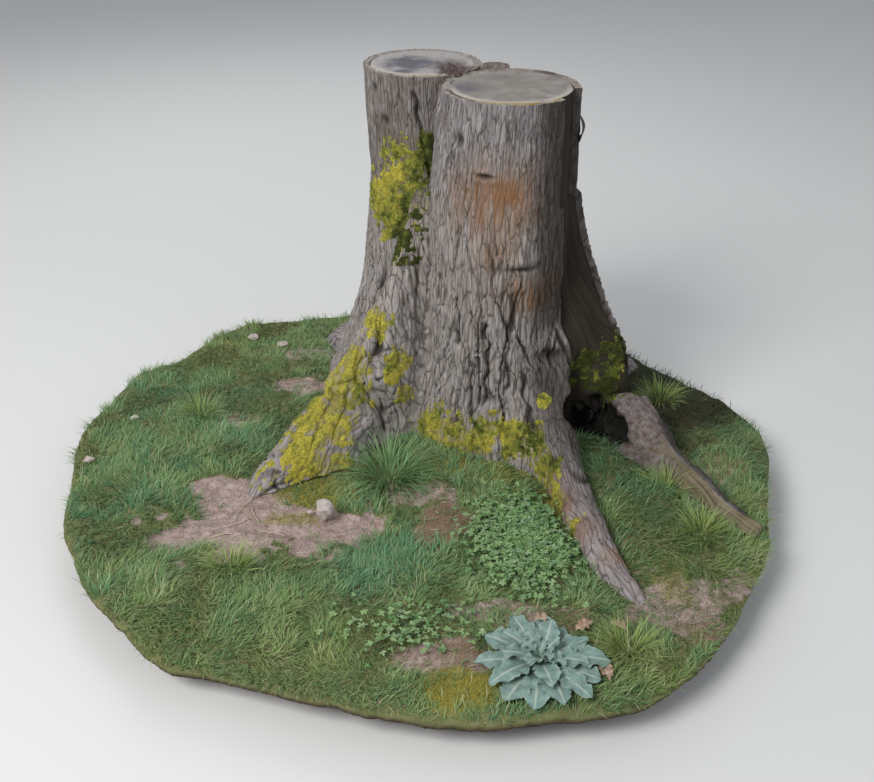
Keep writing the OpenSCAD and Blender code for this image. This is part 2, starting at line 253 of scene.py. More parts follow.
def stand_for(obj, slot, *nodes):
    """Rides on the one body and stands for the nodes; slot is not used."""
    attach(obj, "root")
    if nodes:
        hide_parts(*nodes)
    return obj


def sheet(rows, cols):
    """Quads of a grid of rows by cols points, and the points round its border in order."""
    index = np.arange(rows * cols).reshape(rows, cols)
    quads = np.stack([index[:-1, :-1], index[1:, :-1], index[1:, 1:], index[:-1, 1:]], -1).reshape(-1, 4)
    border = np.concatenate([index[:, 0], index[-1, 1:], index[-2::-1, -1], index[0, -2:0:-1]])
    return quads, border


def compact(faces):
    """The points that some faces use, and the faces renumbered to match."""
    used = np.unique(faces)
    renumber = np.zeros(used[-1] + 1, np.int64)
    renumber[used] = np.arange(len(used))
    return used, renumber[faces]


def tuples(faces):
    """Faces as tuples of plain numbers."""
    return [tuple(f) for f in np.asarray(faces).tolist()]


def edges_of(faces):
    """Each pair of neighbouring points once, from an array of quads."""
    pairs = np.vstack([faces[:, [i, (i + 1) % faces.shape[1]]] for i in range(faces.shape[1])])
    pairs.sort(axis=1)
    return np.unique(pairs, axis=0)


def relax(values, edges, rounds, pull=0.5, push=0.0):
    """Moves each value towards the mean of its neighbours, then a little back if push is given."""
    n = len(values)
    flat = values if values.ndim == 2 else values[:, None]
    a = np.concatenate([edges[:, 0], edges[:, 1]])
    b = np.concatenate([edges[:, 1], edges[:, 0]])
    count = np.maximum(np.bincount(a, minlength=n), 1)[:, None]
    for _ in range(rounds):
        for step in (pull, push):
            if step:
                near = np.column_stack([np.bincount(a, flat[b, k], n) for k in range(flat.shape[1])])
                flat = flat + step * (near / count - flat)
    return flat if values.ndim == 2 else flat[:, 0]


def normals_of(points, faces):
    """Unit normals at the points of a quad mesh."""
    across = points[faces[:, 2]] - points[faces[:, 0]]
    along = points[faces[:, 3]] - points[faces[:, 1]]
    face_normal = np.cross(across, along)
    n = np.zeros_like(points)
    for k in range(3):
        for c in range(4):
            n[:, k] += np.bincount(faces[:, c], face_normal[:, k], len(points))
    return n / np.maximum(np.linalg.norm(n, axis=1), 1e-12)[:, None]


# ---------------------------------------------------------------- camera, light and floor

CAMERA_AT = (0.053, -2.416, 1.74)
CAMERA_DOWN = 30.2       # degrees below level
CAMERA_LENS = 45.31      # mm, on a 36 mm sensor
LIT_AT = (0.05, 0.1, 0.4)
# Name, place, size, watts and colour of each light
LIGHTS = [("key", (-2.6, -3.2, 4.2), 2.2, 255, (1, 0.99, 0.97)),
          ("fill", (3.4, -3.0, 2.6), 3.0, 26, (0.94, 0.97, 1)),
          ("back", (-1.2, 3.8, 3.6), 2.5, 55, (1, 1, 1))]
SKY_COLOUR = (0.85, 0.88, 0.92, 1)
SKY_STRENGTH = 0.46


def camera():
    """The camera at the photograph's angle."""
    data = bpy.data.cameras.new("camera")
    data.sensor_width = 36
    data.lens = CAMERA_LENS
    data.clip_end = 200
    obj = bpy.data.objects.new("camera", data)
    obj.location = CAMERA_AT
    obj.rotation_euler = (math.radians(90 - CAMERA_DOWN), 0, 0)
    bpy.context.scene.collection.objects.link(obj)
    bpy.context.scene.camera = obj


def area_light(name, at, size, power, colour):
    """A square soft light that faces the middle of the stump."""
    data = bpy.data.lights.new(name, "AREA")
    data.size = size
    data.energy = power
    data.color = colour
    obj = bpy.data.objects.new(name, data)
    obj.location = at
    aim = Vector(LIT_AT) - Vector(at)
    obj.rotation_euler = aim.to_track_quat("-Z", "Y").to_euler()
    bpy.context.scene.collection.objects.link(obj)


def lights():
    """Three soft lights and an even sky."""
    for light in LIGHTS:
        area_light(*light)
    world = bpy.data.worlds.new("world")
    world.use_nodes = True
    sky = world.node_tree.nodes["Background"]
    sky.inputs["Color"].default_value = SKY_COLOUR
    sky.inputs["Strength"].default_value = SKY_STRENGTH
    bpy.context.scene.world = world
    bpy.context.scene.view_settings.view_transform = "Standard"


# ---------------------------------------------------------------- node helpers

SHADER = "Principled BSDF"
COLOURS = (0, 6, 7)       # the sockets of a colour mix: share, first colour and second colour
tree = None              # the nodes of the material being made


def new_material(name, roughness, specular=0.3):
    """A new material. The helpers below add their nodes to the newest one."""
    global tree
    m = bpy.data.materials.new(name)
    m.use_nodes = True
    tree = m.node_tree
    shader = tree.nodes[SHADER]
    shader.inputs["Roughness"].default_value = roughness
    shader.inputs["Specular IOR Level"].default_value = specular
    return m


def feed(socket, value):
    """Links a socket to another one, or sets it to a colour, vector or number."""
    if isinstance(value, bpy.types.NodeSocket):
        tree.links.new(value, socket)
    else:
        socket.default_value = value


def add(kind, inputs, **props):
    """A node with its inputs set or linked."""
    n = tree.nodes.new("ShaderNode" + kind)
    for key, value in props.items():
        setattr(n, key, value)
    for key, value in inputs.items():
        feed(n.inputs[key], value)
    return n


def stretched(where, scale, turn=0.0):
    """A place times scale, turned about Z."""
    return add("Mapping", {"Vector": where, "Scale": scale, "Rotation": (0, 0, turn)}).outputs[0]


def place(scale=(1, 1, 1)):
    """The point on the object, in metres, times scale."""
    return stretched(add("TexCoord", {}).outputs["Object"], scale)


def named(name, kind="Fac"):
    """A value stored on the mesh."""
    return add("Attribute", {}, attribute_name=name).outputs[kind]


def speckle(where, scale, detail=4.0, rough=0.6, warp=0.0):
    """Noise from 0 to 1."""
    inputs = {"Vector": where, "Scale": scale, "Detail": detail, "Roughness": rough, "Distortion": warp}
    return add("TexNoise", inputs).outputs["Fac"]


def waves(where, scale, distortion, detail=2.0, **props):
    """Bands or rings from 0 to 1."""
    inputs = {"Vector": where, "Scale": scale, "Distortion": distortion, "Detail": detail}
    return add("TexWave", inputs, **props).outputs["Fac"]


def span(value, low, high, out_low=0.0, out_high=1.0):
    """value moved from low..high to out_low..out_high and held between them."""
    inputs = {"Value": value, "From Min": low, "From Max": high, "To Min": out_low, "To Max": out_high}
    return add("MapRange", inputs).outputs["Result"]


def times(a, b):
    """a times b."""
    return add("Math", {0: a, 1: b}, operation="MULTIPLY").outputs[0]


def plus(a, b):
    """a plus b."""
    return add("Math", {0: a, 1: b}, operation="ADD").outputs[0]


def blend(share, a, b):
    """Colour a turning to colour b as share goes from 0 to 1."""
    n = add("Mix", {}, data_type="RGBA", blend_type="MIX")
    for socket, value in zip(COLOURS, (share, a, b)):
        feed(n.inputs[socket], (*value, 1) if isinstance(value, tuple) else value)
    return n.outputs[2]


def tint(base, colour, value, low, high, most=1.0):
    """base turning to colour as value goes from low to high, by most at the end."""
    return blend(span(value, low, high, 0, most), base, colour)


def finished(m, colour, height=None, depth=0.0, strength=1.0):
    """The material with its colour and, where height is given, fine relief depth metres deep."""
    shader = tree.nodes[SHADER]
    feed(shader.inputs["Base Color"], colour)
    if height is not None:
        bump = add("Bump", {"Height": height, "Distance": depth, "Strength": strength})
        feed(shader.inputs["Normal"], bump.outputs["Normal"])
    return m


# ---------------------------------------------------------------- the stump's skin

SKIN_STEP = 4.0 * MM
SPARE = 60 * MM          # how far the stems run on above the saw cut before it is made
SETTLE_ROUNDS = 28


def stump_solid():
    """All wood, bark and root solids as one closed quad mesh, stems run on above the cut."""
    parts = []
    for node in STUMP_NODES:
        points, faces = node_mesh(node)
        points[points[:, 2] > TOP - 1 * MM, 2] += SPARE
        parts.append((points, faces))
    points, faces = join(parts)
    rough = make("rough_stump", points, faces, [])
    mod = rough.modifiers.new("remesh", "REMESH")
    mod.mode = "VOXEL"
    mod.voxel_size = SKIN_STEP
    mesh = rough.evaluated_get(bpy.context.evaluated_depsgraph_get()).to_mesh()
    quads = np.zeros(len(mesh.loops), np.int64)
    mesh.loops.foreach_get("vertex_index", quads)
    out = corners_of(mesh), quads.reshape(-1, 4)
    bpy.data.objects.remove(rough)
    return out


def shells(count, edges):
    """A label for each point, the same for all points that edges join."""
    label = np.arange(count)
    while True:
        low = np.minimum(label[edges[:, 0]], label[edges[:, 1]])
        new = label.copy()
        np.minimum.at(new, edges[:, 0], low)
        np.minimum.at(new, edges[:, 1], low)
        new = new[new]
        if (new == label).all():
            return label
        label = new


def settle(owner, edges):
    """Gives stray points to the node most of their neighbours belong to, so that borders run smoothly,
    and stray patches of bare wood to the bark round them."""
    shares = np.column_stack([relax((owner == k) * 1.0, edges, SETTLE_ROUNDS)
                              for k in range(len(STUMP_NODES))])
    owner = shares.argmax(axis=1)
    for wood in BARE_NODES:
        k = STUMP_NODES.index(wood)
        mine = owner == k
        if mine.any():
            label = shells(len(owner), edges[mine[edges].all(axis=1)])
            best = np.bincount(label[mine]).argmax()
            owner[mine & (label != best)] = STUMP_NODES.index(wood.replace("wood", "bark"))
    return owner


def largest_shell(points, faces):
    """Only the biggest connected surface, without the small closed gaps between solids."""
    label = shells(len(points), edges_of(faces))
    used, faces = compact(faces[(label == np.bincount(label).argmax())[faces[:, 0]]])
    return points[used], faces


# ---------------------------------------------------------------- bark relief

# Width and length of a bark plate and width of the crack beside it, for the deep and the fine cracks
PLATES = (42 * MM, 210 * MM, 9 * MM)
FINE_PLATES = (14 * MM, 75 * MM, 5 * MM)
PLATE_SCATTER = 0.9      # how far plates stray from even rows, as a share of their size
TRUNK_PULL = 0.3         # how far the left stem's grain moves in under the whole trunk
ROOT_MARKS = 9           # places along a root where its middle is measured
ROOT_W = math.radians(13)        # half the direction that a root takes up
ROOT_RUN = 0.9           # metres of grain for each metre outwards along a root


def stem_axis(z, stem):
    """The middle of a stem's grain at each height. Below the fork the left stem's grain turns round
    the whole trunk, so that its furrows run down into the left root."""
    low, top = stem
    t = np.clip((z - FORK) / (TOP - FORK), 0, 1)[:, None]
    pull = TRUNK_PULL * smooth(FORK + 0.15, 0.15, z)[:, None] if stem is LEFT else 0
    return low + t * (top - low) + pull * (RIGHT_LOW - LEFT_LOW)


def root_line(node):
    """A root's middle line, as distance from the trunk's middle and direction, going outwards."""
    points, _ = node_mesh(node)
    d = points[:, :2] - TRUNK_MID
    _, far = polar(d)
    marks = np.linspace(far.min(), far.max(), ROOT_MARKS)
    reach = []
    angle = []
    for low, high in zip(marks[:-1], marks[1:]):
        some = d[(far >= low) & (far <= high)]
        if len(some):
            m = some.mean(0)
            reach.append(np.hypot(*m))
            angle.append(math.atan2(m[1], m[0]))
    return np.array(reach), np.unwrap(angle)


def straighten(points, lines):
    """Plan directions from the trunk's middle, with each curved root laid straight."""
    turn, out = polar(points[:, :2] - TRUNK_MID)
    shift = np.zeros(len(points))
    for reach, angle in lines:
        middle = np.interp(out, reach, angle)
        off = (turn - middle + math.pi) % TAU - math.pi
        shift += bell(off, ROOT_W) * (middle - angle[0])
    return TRUNK_MID + out[:, None] * heading(turn - shift)[:, :2]


def flow(points, stem, lines):
    """Where each point is in the grain about one stem: turns round it, metres along, metres out."""
    turn, out = polar(straighten(points, lines) - stem_axis(points[:, 2], stem))
    turn = turn / TAU % 1
    along = points[:, 2] - ROOT_RUN * np.maximum(out - STEM_R, 0)
    return turn, along, out


def plates(turn, along, around, length, seed):
    """How far each point is from the edge between two bark plates, in plate widths, and how upright
    that edge is, from 0 to 1."""
    squeeze = 0.4 * length * around / (TAU * STEM_R)
    cu = turn * around
    cv = along / length
    iu = np.floor(cu).astype(np.int64)
    iv = np.floor(cv).astype(np.int64)
    first = np.full((len(turn), 3), 9.0)
    second = first.copy()
    for a in (-1, 0, 1):
        for b in (-1, 0, 1):
            col = (iu + a) % around
            du = cu - (iu + a + 0.5 + PLATE_SCATTER * (lattice(col, iv + b, 0, seed) - 0.5))
            dv = cv - (iv + b + 0.5 + PLATE_SCATTER * (lattice(col, iv + b, 1, seed) - 0.5))
            here = np.column_stack([np.hypot(du, dv * squeeze), du, dv * squeeze])
            closest = (here[:, 0] < first[:, 0])[:, None]
            nearer = (here[:, 0] < second[:, 0])[:, None]
            second = np.where(closest, first, np.where(nearer, here, second))
            first = np.where(closest, here, first)
    apart = second - first
    upright = np.abs(apart[:, 1]) / np.maximum(np.hypot(apart[:, 1], apart[:, 2]), 1e-9)
    return apart[:, 0], upright


def cracks(turn, along, out, width, length, crack_w, seed):
    """Depth of the cracks from 0 to 1. Further out the plates are as wide as near the stem."""
    level = np.log2(np.maximum(out / STEM_R, 1))
    step = np.floor(level).astype(int)
    share = smooth(0.2, 0.8, level - step)
    total = np.zeros(len(turn))
    around = int(round(TAU * STEM_R / width))
    for k in range(int(step.max()) + 2):
        weight = np.where(step == k, 1 - share, np.where(step == k - 1, share, 0))
        some = weight > 0
        if some.any():
            gap, upright = plates(turn[some], along[some], around * 2**k, length, seed + k)
            open_edge = smooth(0.3, 0.9, upright) * (1 - smooth(0, crack_w / width, gap))
            total[some] += weight[some] * open_edge
    return total


def bark_field(points, stem, lines, seed):
    """Cracks and fine cracks about one stem from 0 to 1, grain from -1 to 1, and the place in the grain."""
    turn, along, out = flow(points, stem, lines)
    sway = 9 * noise(points / (0.07, 0.07, 0.11), seed + 50) + 4 * noise(points / 0.03, seed + 51)
    bent = turn + sway * MM / (TAU * np.maximum(out, STEM_R))
    wander = along + 0.012 * noise(points / 0.04, seed + 52)
    deep = cracks(bent, wander, out, *PLATES, seed)
    fine = cracks(bent, wander + 0.02, out, *FINE_PLATES, seed + 10)
    ring = np.column_stack([np.cos(turn * TAU), np.sin(turn * TAU), along * 1.1])
    grain = fbm(ring * (14, 14, 12), seed + 20, 4, 0.65)
    return deep, fine, grain, ring


# ---------------------------------------------------------------- the lie of the ground

DOWN = Vector((0, 0, -1))
MAP_STEP = 10 * MM
FILL_ROUNDS = 160
SOFT_ROUNDS = 3
SOCKET_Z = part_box("trunk_wood")[0].z + 12 * MM
MAP_X0 = cad_box[0].x - 2 * MAP_STEP
MAP_Y0 = cad_box[0].y - 2 * MAP_STEP
MAP_NX = int((cad_box[1].x - MAP_X0) / MAP_STEP) + 4
MAP_NY = int((cad_box[1].y - MAP_Y0) / MAP_STEP) + 4


def tree_of(nodes):
    """A search tree over some CAD nodes."""
    points, faces = join([node_mesh(n) for n in nodes])
    return BVHTree.FromPolygons(points.tolist(), faces)


def ground_map():
    """Ground heights on a square grid, carried on under the stump and past the cut edge."""
    search = tree_of(GROUND_NODES)
    z = np.zeros((MAP_NX, MAP_NY))
    for i in range(MAP_NX):
        for j in range(MAP_NY):
            start = Vector((MAP_X0 + i * MAP_STEP, MAP_Y0 + j * MAP_STEP, 1))
            hit = search.ray_cast(start, DOWN)[0]
            z[i, j] = hit.z if hit else 0
    known = z > SOCKET_Z
    z[~known] = z[known].mean()
    for _ in range(FILL_ROUNDS):
        z = np.where(known, z, soften(z))
    for _ in range(SOFT_ROUNDS):
        z = soften(z)
    return z


def soften(z):
    """Each value moved to the mean of itself and its neighbours on the grid."""
    p = np.pad(z, 1, mode="edge")
    return (p[:-2, 1:-1] + p[2:, 1:-1] + p[1:-1, :-2] + p[1:-1, 2:] + 2 * z) / 6


GROUND = ground_map()


def plain_ground(xy):
    """Height of the ground without its small lumps."""
    u = np.clip((xy[:, 0] - MAP_X0) / MAP_STEP, 0, MAP_NX - 1.001)
    v = np.clip((xy[:, 1] - MAP_Y0) / MAP_STEP, 0, MAP_NY - 1.001)
    i = u.astype(int)
    j = v.astype(int)
    u = u - i
    v = v - j
    low = GROUND[i, j] * (1 - u) + GROUND[i + 1, j] * u
    high = GROUND[i, j + 1] * (1 - u) + GROUND[i + 1, j + 1] * u
    return low * (1 - v) + high * v


# Bare patches: middle, half sizes and how bare
BARE_EARTH = [
    ((-0.38, -0.265), (0.25, 0.13), 1.0),
    ((-0.43, -0.11), (0.12, 0.075), 0.9),
    ((-0.15, -0.25), (0.10, 0.05), 0.8),
    ((0.07, -0.25), (0.075, 0.10), 0.62),
    ((0.02, -0.14), (0.12, 0.05), 0.5),
    ((-0.52, 0.22), (0.05, 0.04), 0.5),
    ((-0.60, -0.30), (0.06, 0.05), 0.5),
    ((0.80, -0.02), (0.06, 0.07), 0.3),
    ((-0.36, 0.42), (0.10, 0.06), 0.6),
    ((0.62, -0.52), (0.13, 0.10), 0.55),
    ((0.06, -0.72), (0.11, 0.05), 0.6),
    ((-0.30, 0.62), (0.16, 0.05), 0.5),
    ((0.30, -0.58), (0.16, 0.04), 0.45),
]


def bareness(xy):
    """From 0 where grass grows to 1 on bare earth."""
    worn = np.zeros(len(xy))
    ragged = 0.55 * plane_noise(xy, 0.11, 61) + 0.4 * plane_noise(xy, 0.03, 62, 2)
    for middle, sizes, full in BARE_EARTH:
        worn = np.maximum(worn, full * (1 - smooth(0.75, 1.35, oval(xy, middle, sizes) + ragged)))
    return worn


def ground_z(xy):
    """Height of the ground with its lumps and crumbs."""
    worn = bareness(xy)
    lumps = 5 * MM * plane_noise(xy, 0.12, 71, 3)
    clods = 2.4 * MM * np.abs(plane_noise(xy, 0.022, 72, 3)) * (0.5 + worn)
    return plain_ground(xy) + lumps + clods - 4 * MM * worn


# ---------------------------------------------------------------- shaping the skin

# Places on a stem: direction from its axis in degrees, height, half width and half height.
# Each patch of rust also has its strength.
RIGHT_RUST = [(-98, 0.80, 0.10, 0.085, 0.95), (-78, 0.79, 0.07, 0.06, 0.5), (-66, 0.56, 0.085, 0.048, 1.0),
              (-95, 0.69, 0.06, 0.07, 0.5)]
RIGHT_KNOTS = [(225, 0.945, 0.016, 0.016), (251, 0.867, 0.024, 0.007), (-48, 0.375, 0.042, 0.022)]
SCAR_AT = (-76, 0.655)
LEFT_KNOTS = [(252, 0.595, 0.016, 0.020), (216, 1.000, 0.014, 0.013), (229, 0.925, 0.015, 0.014)]
# The knots of each stem, with the height of their brims and depth of their pits in mm
KNOTS = [(RIGHT, RIGHT_KNOTS, 9, 24), (LEFT, LEFT_KNOTS, 5, 14)]
SPLIT_HALF_W = 5 * MM
SPLIT_TAPER = 12 * MM    # how far a crack runs on past its ends
# Long cracks: direction and height at each end, and depth in mm
RIGHT_SPLITS = [(233, 0.53, 236, 0.42, 14), (258, 0.47, 260, 0.27, 14), (277, 0.56, 275, 0.30, 12),
                (290, 0.33, 288, 0.20, 12), (246, 0.36, 249, 0.22, 12)]
LEFT_SPLITS = [(262, 0.99, 275, 0.80, 20)]

MOSS_NODES = ["flank_moss", "left_root_moss", "foot_moss", "hollow_moss"]


def round_stem(points, stem):
    """Direction in degrees and distance out from a stem's axis."""
    turn, out = polar(points[:, :2] - stem_axis(points[:, 2], stem))
    return np.degrees(turn), out


def patch(points, stem, direction, height, half_w, half_h):
    """1 at a place on a stem, falling to 0 around it."""
    angle, out = round_stem(points, stem)
    across = np.radians(off_by(angle, direction)) * out / half_w
    up = (points[:, 2] - height) / half_h
    return np.exp(-(across**2 + up**2)) * (np.abs(off_by(angle, direction)) < 80)


def split_line(points, stem, a0, z0, a1, z1):
    """1 along a crack between two places on a stem, thinner towards its ends."""
    angle, out = round_stem(points, stem)
    t = np.clip((points[:, 2] - z0) / (z1 - z0), 0, 1)
    wobble = 2.5 * noise(points / 0.035, 33)
    across = np.radians(off_by(angle, a0 + t * (a1 - a0) + wobble)) * out
    beyond = points[:, 2] - (z0 + t * (z1 - z0))
    return np.exp(-((across / SPLIT_HALF_W) ** 2) - (beyond / SPLIT_TAPER) ** 2)


def distance_to(nodes, points, limit):
    """How far each point is from some CAD nodes, up to limit."""
    search = tree_of(nodes)
    out = np.full(len(points), limit)
    for i, p in enumerate(points.tolist()):
        hit = search.find_nearest(p, limit)
        if hit[3] is not None:
            out[i] = hit[3]
    return out


def nearest_node(points, nodes):
    """Which of the nodes is nearest to each point, as a place in the list."""
    owner = np.concatenate([np.full(len(node_mesh(n)[1]), k) for k, n in enumerate(nodes)])
    search = tree_of(nodes)
    return owner[[search.find_nearest(p)[2] for p in points.tolist()]]


# Strokes of moss on the bark: middle and radius of each
MOSS_STROKES = {
    "left_root_moss": [((-0.285, -0.03, 0.172), 0.075), ((-0.24, 0.04, 0.224), 0.085),
                       ((-0.195, 0.07, 0.281), 0.07),
                       ((-0.175, 0.11, 0.348), 0.055), ((-0.05, 0.141, 0.332), 0.045),
                       ((-0.033, 0.142, 0.239), 0.03), ((-0.11, 0.155, 0.443), 0.04),
                       ((-0.20, -0.04, 0.13), 0.05)],
    "flank_moss": [((-0.085, 0.359, 0.711), 0.065), ((-0.06, 0.345, 0.745), 0.05),
                   ((-0.075, 0.32, 0.66), 0.05), ((-0.043, 0.245, 0.644), 0.035),
                   ((-0.03, 0.327, 0.764), 0.06),
                   ((0.0, 0.33, 0.83), 0.05), ((-0.06, 0.29, 0.67), 0.045), ((0.022, 0.32, 0.87), 0.03)],
    "foot_moss": [((0.034, 0.11, 0.150), 0.055), ((0.167, 0.044, 0.165), 0.055), ((0.25, 0.02, 0.18), 0.05),
                  ((0.309, 0.008, 0.17), 0.05), ((0.33, -0.08, 0.136), 0.055), ((0.34, -0.17, 0.12), 0.04),
                  ((0.10, 0.08, 0.15), 0.055), ((0.40, -0.28, 0.11), 0.03), ((0.335, 0.056, 0.274), 0.02)],
    "hollow_moss": [((0.502, 0.148, 0.297), 0.06), ((0.527, 0.173, 0.36), 0.05),
                    ((0.461, 0.158, 0.337), 0.04)],
}
# the hollow's moss has the darkest tone: partly its own deep green, partly painted shade of the hollow
MOSS_TONE = {"left_root_moss": 0.85, "flank_moss": 0.72, "foot_moss": 0.6, "hollow_moss": 0.0}
MOSS_SPREAD = {"flank_moss": 0.2, "foot_moss": -0.04}
FLANK_SHADE = (-0.06, 0.02)      # where the flank's moss turns dark towards the crease, in X
MOSS_FUZZ = {"left_root_moss": 26000, "flank_moss": 20000, "foot_moss": 22000, "hollow_moss": 9000}
# The hollow between the right roots: its dip, and its colour darkened to near black as painted shade
HOLLOW_R = 46 * MM
HOLLOW_DEPTH = 34        # mm
HOLLOW = [(0.493, 0.116, 0.192), (0.523, 0.092, 0.160), (0.484, 0.108, 0.116), (0.46, 0.13, 0.15)]
# Where each root goes under the ground, as a share of its reach, and how deep its tip is
SINK = {"front_root": (0.90, 50), "left_root": (0.90, 30), "back_left_root": (0.74, 70),
        "back_right_root": (0.74, 70)}


def moss_amount(node, points):
    """How mossy the bark is about one of the cushions, from 0 to 1."""
    total = np.zeros(len(points))
    low, high, _, _ = box_of(node)
    for middle, radius in MOSS_STROKES[node]:
        far = np.linalg.norm(points - middle, axis=1) / radius
        total = np.maximum(total, 1 - smooth(0.35, 1.7, far))
    some = ((points > low - 0.05) & (points < high + 0.05)).all(axis=1)
    near = np.zeros(len(points))
    near[some] = 1 - distance_to([node], points[some], 0.04) / 0.04
    return np.maximum(total, 0.5 * smooth(0.1, 1.0, near))


FAR_SIDE_AT = 28         # direction of the shaded bark beyond the bare wood
FAR_SIDE_DIM = 1.1
LEFT_STEM_DIM = 0.34
NEAR_SIDE = (-80, -56)   # where the right stem's front turns into its shaded side
BARK_LIP = (0.42, 0.09, 0.32)    # where the bark rolls over beside the bare wood, low on the right
LIP_SIZES = (0.13, 0.13, 0.2)
LIP_ROUNDS = 30
SKIN_ROUNDS = 12         # rounds of smoothing for the skin, each with a pull in and a push back out
SKIN_PULL = 0.5
SKIN_PUSH = -0.52
# Relief of the skin in mm: high on the stems, and how much is added low down
CRACK_DEPTH = (0.8, 10)
FINE_DEPTH = (2.4, 1.4)
FURROW_DEPTH = (2, 9)
SWELLING = (1.2, 3.5)
GRAIN_DEPTH = 1.7
WOOD_GRAIN_DEPTH = 0.9
FIBRE_DEPTH = 2.6
# Heights between which the bark changes from one look to the other
COARSE = (0.45, 0.95)
FURROWED = (0.35, 0.68)
SILVERY = (0.66, 0.9)
MAUVE = (0.64, 0.70)     # along X, on the right root
ROUGH_CUT = 25 * MM      # how far below the turf the skin is cut, before its relief is added and after
FINAL_CUT = 12 * MM
FURROWS = 24             # round each stem
CREASE_SIDE = (0.84, -0.54)      # square to the crease between the trunk's front and the left root


def furrows(points, stem, lines, seed):
    """Long upright furrows that open over the roots, from 0 to 1."""
    turn, _, out = flow(points, stem, lines)
    sway = 0.5 * noise(points / 0.16, seed) + 0.16 * noise(points / 0.045, seed + 10)
    total = np.zeros(len(points))
    for number, share in ((FURROWS, 1 - smooth(0.24, 0.36, out)), (2 * FURROWS, smooth(0.24, 0.36, out))):
        place_in = (turn * number + sway * number / FURROWS) % 1
        near = np.abs(place_in - 0.5) * 2
        total += share * bell(1 - near, 0.16)
    return total * np.clip(0.5 + 1.3 * noise(points / 0.13, seed + 20), 0.0, 1)


# Orange-brown earth and litter caught along the near side of the front root: middle and radius of each spot
FOOT_RUST = [((0.339, -0.133, 0.121), 0.06), ((0.36, -0.21, 0.12), 0.05), ((0.41, -0.31, 0.12), 0.045),
             ((0.47, -0.40, 0.11), 0.04), ((0.594, 0.06, 0.17), 0.06), ((0.53, -0.46, 0.10), 0.04)]


def rust_on(points):
    """The orange patches of the right stem and the rusty earth along the front root, from 0 to 1."""
    rust = np.zeros(len(points))
    for *where, full in RIGHT_RUST:
        rust = np.maximum(rust, full * patch(points, RIGHT, *where) ** 0.7)
    rust *= 0.85 + 0.5 * noise(points / (0.008, 0.008, 0.07), 44) + 0.35 * noise(points / 0.06, 47)
    litter = np.zeros(len(points))
    for middle, radius in FOOT_RUST:
        litter = np.maximum(litter, bell(np.linalg.norm(points - middle, axis=1), radius))
    return np.maximum(rust, 0.75 * litter)


def hollow_at(points):
    """1 deep in the hollow between the right roots, 0 outside it."""
    total = np.zeros(len(points))
    ragged = 0.35 * noise(points / 0.02, 50)
    for middle in HOLLOW:
        far = np.linalg.norm(points - middle, axis=1) / HOLLOW_R
        total = np.maximum(total, 1 - smooth(0.35, 1.5, far + ragged))
    return total


def marks(points, to_right):
    """Knots, the scar and long cracks: how far they stand out in mm, and how dark they are."""
    lift = np.zeros(len(points))
    dark = np.zeros(len(points))
    for stem, places, brim, pit in KNOTS:
        for direction, z, w, h in places:
            near = patch(points, stem, direction, z, w, h)
            lift += brim * patch(points, stem, direction, z, w * 1.8, h * 2) - pit * near
            dark = np.maximum(dark, near)
    lip = patch(points, RIGHT, *SCAR_AT, 0.042, 0.017)
    slit = patch(points, RIGHT, SCAR_AT[0], SCAR_AT[1] - 0.024, 0.034, 0.006)
    lift += 10 * lip - 14 * slit
    dark = np.maximum(dark, slit)
    for stem, share, splits in ((RIGHT, to_right, RIGHT_SPLITS), (LEFT, 1 - to_right, LEFT_SPLITS)):
        for *ends, depth in splits:
            line = share * split_line(points, stem, *ends)
            lift -= depth * line
            dark = np.maximum(dark, line)
    return lift, dark


def smooth_skin():
    """The stump's smooth surface above the ground: points and quads."""
    points, quads = largest_shell(*stump_solid())
    edges = edges_of(quads)
    points = relax(points, edges, SKIN_ROUNDS, SKIN_PULL, SKIN_PUSH)
    rounded = 1 - smooth(0.6, 1.2, np.linalg.norm((points - BARK_LIP) / LIP_SIZES, axis=1))
    points = points + rounded[:, None] * (relax(points, edges, LIP_ROUNDS) - points)
    buried = points[:, 2] < plain_ground(points[:, :2]) - ROUGH_CUT
    used, quads = compact(quads[~buried[quads].all(axis=1)])
    return points[used], quads


def sink_tips(points, is_in):
    """Takes the ends of the roots down into the ground."""
    for node, (begin, deep_end) in SINK.items():
        reach = np.linalg.norm(node_mesh(node)[0][:, :2] - TRUNK_MID, axis=1).max()
        share = np.linalg.norm(points[:, :2] - TRUNK_MID, axis=1) / reach
        points[:, 2] -= is_in[node] * deep_end * MM * smooth(begin, 1.0, share)


def shaded_sides(points, to_right, aloft, right_bark):
    """How dark the bark is on the stump's right side and behind its fork."""
    turn, _ = round_stem(points, RIGHT)
    height = points[:, 2]
    far_side = FAR_SIDE_DIM * bell(off_by(turn, FAR_SIDE_AT), 55) * smooth(0.2, 0.35, height)
    near_side = smooth(*NEAR_SIDE, turn) * (1 - smooth(-10, 10, turn))
    near_side *= smooth(0.08, 0.22, height) * (1 - 0.75 * bell(height - 0.41, 0.05))
    return np.max([right_bark, far_side, near_side, LEFT_STEM_DIM * aloft * (1 - to_right)], axis=0)


